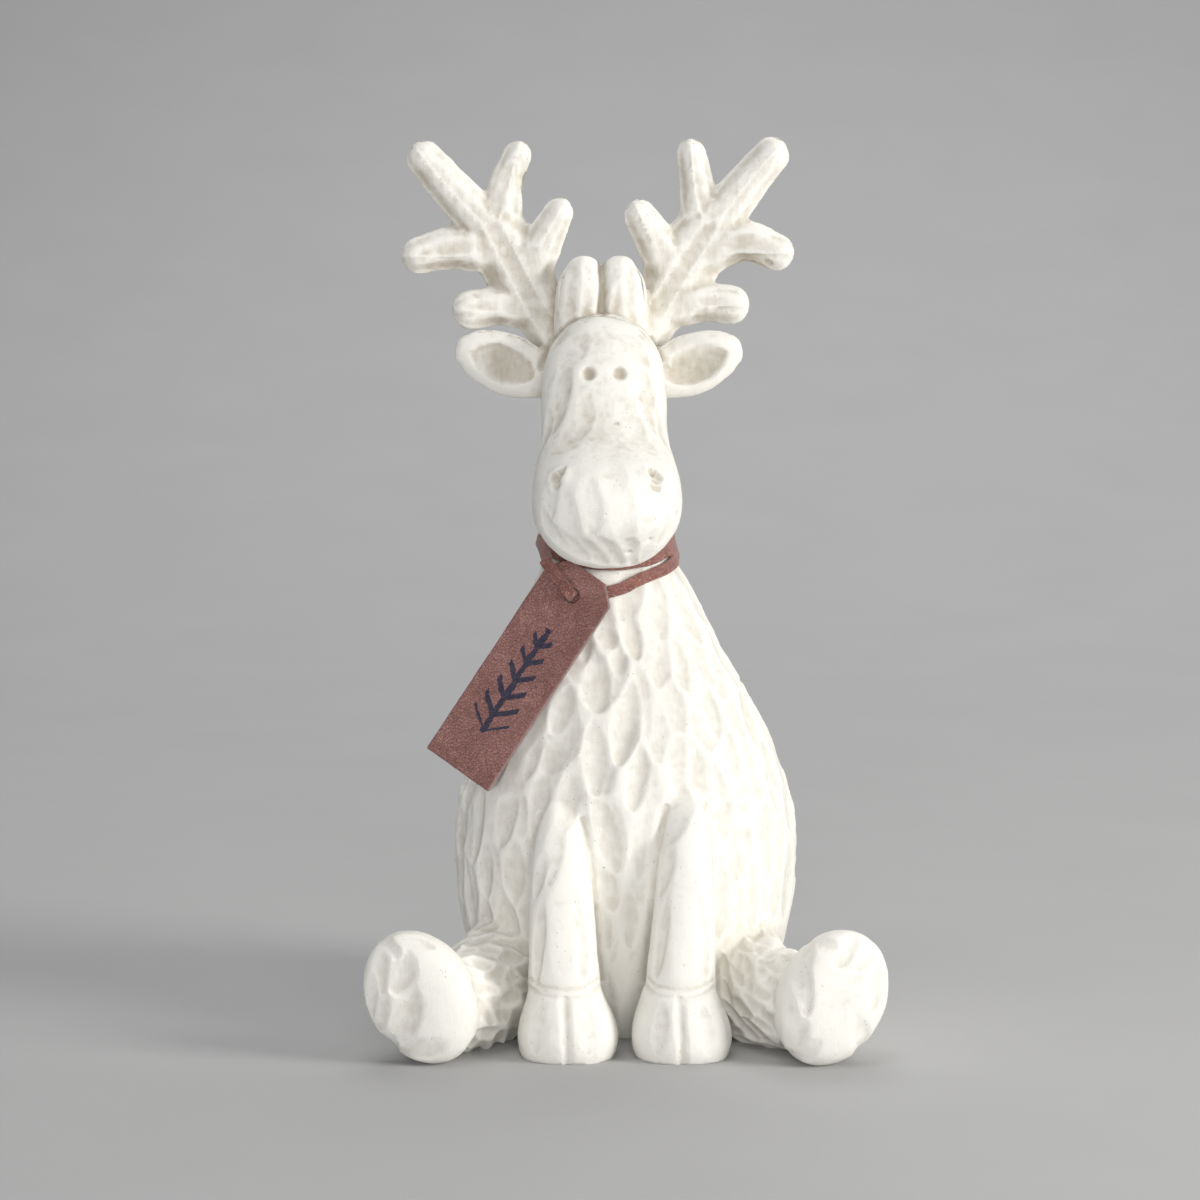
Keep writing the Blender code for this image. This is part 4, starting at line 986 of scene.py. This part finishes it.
def brown_leather_tag(axes, hole):
    """The leather tag: a plate with its upper corners cut off and a hole, slightly uneven as hide is."""
    bpy.ops.object.select_all(action="DESELECT")
    middle = (0.0, TAG_HOLE_TO_TOP - TAG_LENGTH / 2, TAG_THICKNESS / 2)
    bpy.ops.mesh.primitive_cube_add(size=1.0, location=middle)
    tag = bpy.context.active_object
    tag.name = "brown_leather_tag"
    bpy.ops.transform.resize(value=(TAG_WIDTH, TAG_LENGTH, TAG_THICKNESS))
    bpy.ops.object.transform_apply(location=True, rotation=True, scale=True)
    bpy.ops.object.mode_set(mode="EDIT")
    bpy.ops.mesh.select_mode(type="EDGE")
    bpy.ops.mesh.select_all(action="DESELECT")
    bm = bmesh.from_edit_mesh(tag.data)
    for edge in bm.edges:
        upright = abs(edge.verts[0].co.z - edge.verts[1].co.z) > TAG_THICKNESS / 2
        edge.select_set(upright and edge.verts[0].co.y > 0)
    bpy.ops.mesh.bevel(offset=TAG_CORNER_CUT, segments=1, affect="EDGES")
    bpy.ops.object.mode_set(mode="OBJECT")
    bpy.ops.mesh.primitive_cylinder_add(vertices=48, radius=hole_radius(), depth=4 * TAG_THICKNESS)
    punch = bpy.context.active_object
    modified(tag, "BOOLEAN", operation="DIFFERENCE", object=punch)
    bpy.data.objects.remove(punch)
    one_skin(tag, TAG_VOXEL, softenings=2)
    roughened(tag.data, size=0.009, height=0.00010, seed=5.0)
    places = vertex_places(tag.data)
    noted(tag.data, "across", places[:, 0] * 1000)
    noted(tag.data, "along", (places[:, 1] - TAG_HOLE_TO_TOP + TAG_LENGTH) * 1000)
    noted(tag.data, "cut_edge", np.clip(1.6 - 2.2 * np.abs(vertex_normals(tag.data)[:, 2]), 0, 1))
    tag.matrix_world = Matrix.Translation(hole) @ axes.to_4x4()
    bpy.ops.object.select_all(action="DESELECT")
    tag.select_set(True)
    bpy.context.view_layer.objects.active = tag
    bpy.ops.object.transform_apply(location=True, rotation=True, scale=True)
    bpy.ops.object.shade_smooth()
    return tag


def ring_spot(surface, angle, offset):
    """A point of the neck on the lace's ring, moved up the neck by offset. Angle 0 is the nape."""
    rise = Vector((0, -RING_SLOPE, 1)).normalized()
    start = Vector(scaled(RING_MIDDLE)) + rise * offset
    way = Vector((-math.sin(angle), math.cos(angle), RING_SLOPE * math.cos(angle)))
    return surface.ray_cast(start, way.normalized())[0]


def on_neck(surface, angle, offset, thickness=LACE_THICKNESS, reach=1.0):
    """Middle and outward way of the lace where it lies on the neck, over the ridges of the carving."""
    base = ring_spot(surface, angle, offset)
    out = Vector(body_point(angle, base.z / UNIT)[1])
    ridge = 0.0
    for degrees in (-6, -3, 0, 3, 6):
        turned = angle + math.radians(degrees * reach)
        for share in (-0.5, -0.25, 0, 0.25, 0.5):
            near = ring_spot(surface, turned, offset + share * reach * LACE_WIDTH)
            ridge = max(ridge, (near - base).dot(out))
    return base + out * (ridge + GAP + thickness / 2), out


def strap(name, stations):
    """A flat strap of the lace's section through (middle, outward way) stations."""
    rows = np.array([tuple(middle) + tuple(out) for middle, out in stations])
    rows = curve_through(rows, RING_STEPS)
    tangents = np.gradient(rows[:, :3], axis=0)
    half = np.array((LACE_WIDTH, LACE_THICKNESS)) / 2
    section = np.array([(-1, -1), (1, -1), (1, 1), (-1, 1)]) * half
    form = opened_form(name)
    for row, tangent in zip(rows, tangents):
        tangent = unit(tangent)
        out = unit(row[3:] - tangent * np.dot(row[3:], tangent))
        add_ring(form, row[:3], np.cross(tangent, out), out, section)
    closed_form()
    return form


def through_tag(axes, hole):
    """The lace's stations over the tag's cut corner, across its face, through the hole and away."""
    across, up, out = (Vector(axes.col[k]) for k in range(3))
    inward = (across * LACE_COMES_IN[0] + up * LACE_COMES_IN[1]).normalized()
    away = (across * LACE_GOES_OUT[0] + up * LACE_GOES_OUT[1]).normalized()
    half = TAG_WIDTH / 2
    side, rise = inward.dot(across), -inward.dot(up)
    corner = half + TAG_HOLE_TO_TOP - TAG_CORNER_CUT
    edge = min(half / side, TAG_HOLE_TO_TOP / rise, corner / (side + rise))
    lift = GAP + LACE_THICKNESS / 2
    rim = hole_radius()
    front = TAG_THICKNESS + lift
    before = edge + lift + LACE_WIDTH * 0.15
    stations = [
        (-inward * (before + LACE_WIDTH * 0.5) + out * (front - LACE_WIDTH * 1.5), out * 0.2 - inward),
        (-inward * (before + lift * 0.7) + out * (front - lift * 2.4), out - inward * 1.5),
        (-inward * (before - lift * 0.1) + out * (front - lift * 0.45), out - inward * 0.7),
        (-inward * (edge - lift) + out * front, out),
        (-inward * (edge + rim) / 2 + out * front, out),
        (-inward * rim * 1.1 + out * front, out),
        (-inward * rim * 0.42 + out * (front - lift * 0.3), out + inward * 0.6),
        (-inward * rim * 0.06 + out * (front - lift * 1.1), inward),
        (out * TAG_THICKNESS / 2, inward + away),
        (away * rim * 0.06 + out * lift * 0.1, away),
        (away * rim * 0.42 - out * lift * 0.7, out + away * 0.6),
        (away * rim * 1.1 - out * lift, out),
        (away * rim * 1.6 + up * rim * 0.7 - out * lift * 1.1, out),
    ]
    return [(hole + place, way.normalized()) for place, way in stations]


def lower_strand(surface, axes, hole):
    """The strand that carries the tag: round the neck, in through the tag's hole and back to the nape."""
    track = -(LACE_WIDTH + GAP) / 2
    over = 3 * LACE_THICKNESS + 2 * GAP
    stations = [on_neck(surface, math.radians(degrees), track) for degrees in range(2, 72, 10)]
    for degrees, rise in CLIMBS:
        spot = track + rise * LACE_WIDTH
        stations.append(on_neck(surface, math.radians(degrees), spot, thickness=over))
    stations += through_tag(axes, hole)
    for degrees, drop, thickness in RETURNS:
        spot = track - drop * LACE_WIDTH
        stations.append(on_neck(surface, math.radians(degrees), spot, thickness=thickness * LACE_THICKNESS))
    stations += [on_neck(surface, math.radians(degrees), track) for degrees in range(223, 360, 9)]
    return stations


def loose_end(surface, lean):
    """One loose end below the knot, lying down the back of the neck."""
    stations = []
    for share in (0.0, 0.25, 0.5, 0.75, 1.0):
        stations.append(on_neck(surface, lean * (0.3 + share), -share * LACE_END_LENGTH, reach=1.6))
    return strap("loose end", stations)


def suede_lace(surface, axes, hole):
    """The suede lace: two turns round the neck, its knot at the nape and two short ends."""
    track = (LACE_WIDTH + GAP) / 2
    upper = [on_neck(surface, math.radians(degrees), track) for degrees in range(2, 360, 10)]
    depth = KNOT_DEPTH * LACE_THICKNESS
    middle, out = on_neck(surface, 0.0, 0.0, thickness=2 * depth, reach=3.0)
    level = Vector((1, 0, 0))
    halves = (LACE_WIDTH * KNOT_SHARES[0], LACE_WIDTH * KNOT_SHARES[1], depth)
    parts = [
        strap("upper strand", upper),
        strap("lower strand", lower_strand(surface, axes, hole)),
        rounded_block("knot", middle, (level, out.cross(level), out), halves, KNOT_POWER, steps=6),
    ]
    parts += [loose_end(surface, math.radians(lean)) for lean in LOOSE_END_LEANS]
    lace = joined("suede_lace", parts)
    one_skin(lace, LACE_VOXEL, softenings=3)
    roughened(lace.data, size=0.0012, height=0.00007, seed=2.0)
    bpy.ops.object.shade_smooth()
    return lace


class Finish:
    """A material being made, with short ways to add its nodes."""

    def __init__(self, name):
        self.material = bpy.data.materials.new(name)
        self.material.use_nodes = True
        self.tree = self.material.node_tree
        self.shader = self.tree.nodes["Principled BSDF"]
        self.place = self.tree.nodes.new("ShaderNodeTexCoord").outputs["Object"]

    def feed(self, socket, value):
        """Links a socket to an input, or sets the input to a number or a colour."""
        if isinstance(value, bpy.types.NodeSocket):
            self.tree.links.new(value, socket)
        elif isinstance(value, tuple) and socket.type == "RGBA":
            socket.default_value = (*value, 1.0)
        else:
            socket.default_value = value

    def added(self, kind, inputs):
        """A new node with its inputs fed by name."""
        node = self.tree.nodes.new(kind)
        for name, value in inputs.items():
            self.feed(node.inputs[name], value)
        return node

    def stored(self, name):
        node = self.tree.nodes.new("ShaderNodeAttribute")
        node.attribute_name = name
        return node.outputs["Fac"]

    def calc(self, operation, first, second=0.0, third=0.0, clamp=False):
        node = self.tree.nodes.new("ShaderNodeMath")
        node.operation = operation
        node.use_clamp = clamp
        for socket, value in zip(node.inputs, (first, second, third)):
            self.feed(socket, value)
        return node.outputs["Value"]

    def height(self):
        return self.added("ShaderNodeSeparateXYZ", {"Vector": self.place}).outputs["Z"]

    def stretched(self, scale):
        return self.added("ShaderNodeMapping", {"Vector": self.place, "Scale": scale}).outputs["Vector"]

    def noise(self, scale, detail=4.0, roughness=0.55, distortion=0.0, place=None):
        inputs = {"Vector": place or self.place, "Scale": scale, "Detail": detail}
        inputs.update({"Roughness": roughness, "Distortion": distortion})
        return self.added("ShaderNodeTexNoise", inputs).outputs["Fac"]

    def cells(self, scale, feature="F1"):
        node = self.added("ShaderNodeTexVoronoi", {"Vector": self.place, "Scale": scale})
        node.feature = feature
        return node.outputs["Distance"]

    def between(self, value, low, high, first=0.0, last=1.0):
        """First at low, last at high, smooth in between."""
        inputs = {"Value": value, "From Min": low, "From Max": high, "To Min": first, "To Max": last}
        node = self.added("ShaderNodeMapRange", inputs)
        node.interpolation_type = "SMOOTHSTEP"
        return node.outputs["Result"]

    def mixed(self, share, first, second):
        node = self.tree.nodes.new("ShaderNodeMix")
        node.data_type = "RGBA"
        self.feed(node.inputs["Factor"], share)
        self.feed(node.inputs[6], first)
        self.feed(node.inputs[7], second)
        return node.outputs[2]

    def bumped(self, height, strength, distance):
        inputs = {"Height": height, "Strength": strength, "Distance": distance}
        return self.added("ShaderNodeBump", inputs).outputs["Normal"]

    def done(self, colour, roughness, normal):
        self.feed(self.shader.inputs["Base Color"], colour)
        self.feed(self.shader.inputs["Roughness"], roughness)
        self.feed(self.shader.inputs["Normal"], normal)
        return self.material


def whitewash():
    """Chalky white paint, rubbed with thin grey-beige washes that stay in the cuts, and painted shade in its
    fine creases, up the head and antlers, in its eyes, nostrils, pits and ear hollows and on the antlers'
    undersides.
    """
    made = Finish("chalk whitewash")
    hollow = made.stored("hollow")
    crease = made.stored("crease")
    patches = made.noise(120.0, detail=6.0, roughness=0.65)
    streaks = made.noise(560.0, detail=5.0, place=made.stretched((1.0, 1.0, 0.22)))
    chatter = made.noise(430.0, detail=3.0, place=made.stretched((0.5, 0.5, 1.0)))
    grain = made.noise(1900.0, detail=3.0, roughness=0.6)
    height = made.height()
    layers = [
        (hollow, 0.08),
        # Painted shade together with the wash in the fine creases.
        (crease, 0.26),
        (made.between(patches, 0.38, 0.72), 0.17),
        (made.between(streaks, 0.42, 0.75), 0.17),
        (grain, 0.06),
        (made.between(chatter, 0.5, 0.7), 0.07),
    ]
    wash_and_shade = -0.01
    for layer, weight in layers:
        wash_and_shade = made.calc("MULTIPLY_ADD", layer, weight, wash_and_shade)
    # Painted shade: darker higher up, with less wash below the muzzle and more on the face, ears, forelock
    # and antlers.
    wash_and_shade = made.calc("MULTIPLY", wash_and_shade, made.between(height, 0.160, 0.204, 0.85, 1.25))
    wash_and_shade = made.calc("ADD", wash_and_shade, made.between(height, 0.190, 0.244, 0.0, 0.19))
    # Washes and painted shade in the eyes, nostrils and pits, and painted shade in the ear hollows and under
    # the antlers.
    wash_and_shade = made.calc("MULTIPLY_ADD", made.stored("dab_and_shade"), 0.5, wash_and_shade, clamp=True)
    paint, beige, pit_grey, speck_black = WHITEWASH_TINTS
    colour = made.mixed(wash_and_shade, paint, beige)
    pits = made.between(made.cells(520.0), 0.16, 0.08)
    some = made.between(made.noise(140.0, detail=2.0), 0.52, 0.62)
    pits = made.calc("MULTIPLY", pits, some)
    colour = made.mixed(made.calc("MULTIPLY", pits, 0.45), colour, pit_grey)
    specks = made.between(made.cells(85.0), 0.035, 0.022)
    rare = made.between(made.noise(33.0, detail=1.0), 0.60, 0.64)
    colour = made.mixed(made.calc("MULTIPLY", specks, rare), colour, speck_black)
    roughness = made.calc("MULTIPLY_ADD", streaks, 0.18, 0.70)
    relief = made.calc("MULTIPLY_ADD", grain, 0.35, made.calc("MULTIPLY", streaks, 0.6))
    relief = made.calc("MULTIPLY_ADD", chatter, 0.5, relief)
    relief = made.calc("SUBTRACT", relief, pits)
    return made.done(colour, roughness, made.bumped(relief, 0.6, 0.0004))


def tag_leather():
    """Brown hide with fine wrinkles darkened by painted shade, paler along its cut edge, and a sprig drawn on
    it in dark ink.
    """
    made = Finish("brown tag leather")
    tone = made.noise(90.0, detail=4.0)
    wrinkles = made.cells(1050.0, feature="DISTANCE_TO_EDGE")
    # Fine creases: bumped in, and darkened as painted shade.
    creases = made.between(wrinkles, 0.12, 0.0)
    long_creases = made.between(made.noise(200.0, detail=5.0, distortion=1.4), 0.50, 0.46)
    dark, light, *tints = LEATHER_TINTS
    leather = made.mixed(made.between(tone, 0.35, 0.7), dark, light)
    # The fine creases are darkened as painted shade. The long creases, the cut edge and the ink are the
    # leather's own colours.
    layers = [(creases, 0.5), (long_creases, 0.12), (made.stored("cut_edge"), 0.75), (ink_sprig(made), 0.94)]
    for (layer, weight), tint in zip(layers, tints):
        leather = made.mixed(made.calc("MULTIPLY", layer, weight), leather, tint)
    relief = made.calc("MULTIPLY", made.calc("SUBTRACT", made.noise(700.0), creases), 0.6)
    relief = made.calc("MULTIPLY_ADD", long_creases, -0.5, relief)
    roughness = made.calc("MULTIPLY_ADD", tone, 0.2, 0.48)
    return made.done(leather, roughness, made.bumped(relief, 0.9, 0.0005))


def ink_sprig(made):
    """Where a pen drew a fir sprig: a stem up the tag's middle with slanted needles on both sides."""
    wobble = made.calc("MULTIPLY_ADD", made.noise(330.0, detail=2.0), 2.4, -1.2)
    across = made.calc("ADD", made.stored("across"), wobble)
    along = made.calc("SUBTRACT", made.stored("along"), SPRIG_FOOT)
    inside = made.calc("GREATER_THAN", along, 0.0)
    inside = made.calc("MULTIPLY", inside, made.calc("LESS_THAN", along, SPRIG_LENGTH))
    side = made.calc("ABSOLUTE", across)
    stem = made.between(side, 1.2, 0.9)
    climb = made.calc("MULTIPLY_ADD", side, -0.85, along)
    climb = made.calc("ADD", climb, made.calc("MULTIPLY", wobble, 0.4))
    from_needle = made.calc("PINGPONG", climb, NEEDLE_SPACING / 2)
    needle = made.between(from_needle, 1.3, 1.0)
    reach = made.calc("MULTIPLY_ADD", along, -0.115, 8.2)
    needle = made.calc("MULTIPLY", needle, made.calc("LESS_THAN", side, reach))
    needle = made.calc("MULTIPLY", needle, made.calc("GREATER_THAN", climb, 0.0))
    return made.calc("MULTIPLY", made.calc("MAXIMUM", stem, needle), inside)


def lace_suede():
    """Reddish brown suede with a short, pale nap."""
    made = Finish("reddish suede")
    nap = made.noise(1900.0, detail=4.0, roughness=0.75)
    tone = made.noise(240.0, detail=3.0)
    dark, light, nap_tint = SUEDE_TINTS
    suede = made.mixed(made.between(tone, 0.3, 0.75), dark, light)
    suede = made.mixed(made.calc("MULTIPLY", made.between(nap, 0.52, 0.64), 0.75), suede, nap_tint)
    made.shader.inputs["Sheen Weight"].default_value = 0.25
    made.shader.inputs["Sheen Roughness"].default_value = 0.5
    return made.done(suede, 0.95, made.bumped(nap, 0.6, 0.0003))


def dressed(piece, finish, node):
    """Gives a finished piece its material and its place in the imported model."""
    piece.data.materials.clear()
    piece.data.materials.append(finish)
    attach(piece, "root")
    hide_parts(node)


def pale_studio():
    """A pale floor that sweeps up into a wall behind the figurine."""
    bpy.ops.object.select_all(action="DESELECT")
    bpy.ops.mesh.primitive_plane_add(size=FLOOR_SIZE, location=(0, 0, 0))
    floor = bpy.context.active_object
    floor.name = "floor"
    bpy.ops.object.mode_set(mode="EDIT")
    bpy.ops.mesh.select_mode(type="EDGE")
    bpy.ops.mesh.select_all(action="DESELECT")
    bm = bmesh.from_edit_mesh(floor.data)
    for edge in bm.edges:
        edge.select_set(all(vert.co.y > FLOOR_SIZE / 4 for vert in edge.verts))
    bpy.ops.mesh.extrude_region_move(TRANSFORM_OT_translate={"value": (0, 0, WALL_HEIGHT)})
    bpy.ops.mesh.select_all(action="DESELECT")
    for edge in bm.edges:
        low = all(vert.co.z < WALL_HEIGHT / 2 for vert in edge.verts)
        edge.select_set(low and all(vert.co.y > FLOOR_SIZE / 4 for vert in edge.verts))
    bpy.ops.mesh.bevel(offset=FLOOR_SWEEP, segments=24, affect="EDGES")
    bpy.ops.object.mode_set(mode="OBJECT")
    bpy.ops.object.shade_smooth()
    paper = Finish("pale grey paper")
    colour = paper.mixed(paper.noise(12.0, detail=2.0), *PAPER_TINTS)
    tooth = paper.bumped(paper.noise(900.0), 0.05, 0.0002)
    floor.data.materials.append(paper.done(colour, 0.9, tooth))


def soft_light(name, place, aim, size, power, tint):
    """A square soft box that faces a point."""
    way = Vector(aim) - Vector(place)
    bpy.ops.object.light_add(type="AREA", location=place, rotation=way.to_track_quat("-Z", "Y").to_euler())
    light = bpy.context.active_object
    light.name = name
    light.data.size = size
    light.data.energy = power
    light.data.color = tint


def studio_lights():
    for name, settings in LIGHTS.items():
        soft_light(name, *settings)
    world = bpy.data.worlds.new("studio air")
    world.use_nodes = True
    air = world.node_tree.nodes["Background"]
    air.inputs["Color"].default_value = (*AIR_TINT, 1.0)
    air.inputs["Strength"].default_value = AIR_STRENGTH
    bpy.context.scene.world = world


def photo_camera():
    """The camera, as high as the forelock, looking a little down at the figurine's middle."""
    away = Vector((0, -math.cos(CAMERA_RISE), math.sin(CAMERA_RISE)))
    place = Vector(CAMERA_TARGET) + CAMERA_DISTANCE * away
    bpy.ops.object.camera_add(location=place, rotation=(math.radians(90) - CAMERA_RISE, 0, 0))
    camera = bpy.context.active_object
    camera.data.lens = CAMERA_LENS
    camera.data.sensor_width = 36.0
    bpy.context.scene.camera = camera


def main():
    bpy.ops.object.select_all(action="DESELECT")
    photo_camera()
    studio_lights()
    pale_studio()
    reindeer = whitewashed_reindeer()
    surface = surface_of(reindeer)
    axes, hole = tag_axes()
    dressed(reindeer, whitewash(), "cast_reindeer")
    dressed(brown_leather_tag(axes, hole), tag_leather(), "leather_tag")
    dressed(suede_lace(surface, axes, hole), lace_suede(), "neck_lace")
    bpy.context.scene.view_settings.view_transform = "Standard"


main()
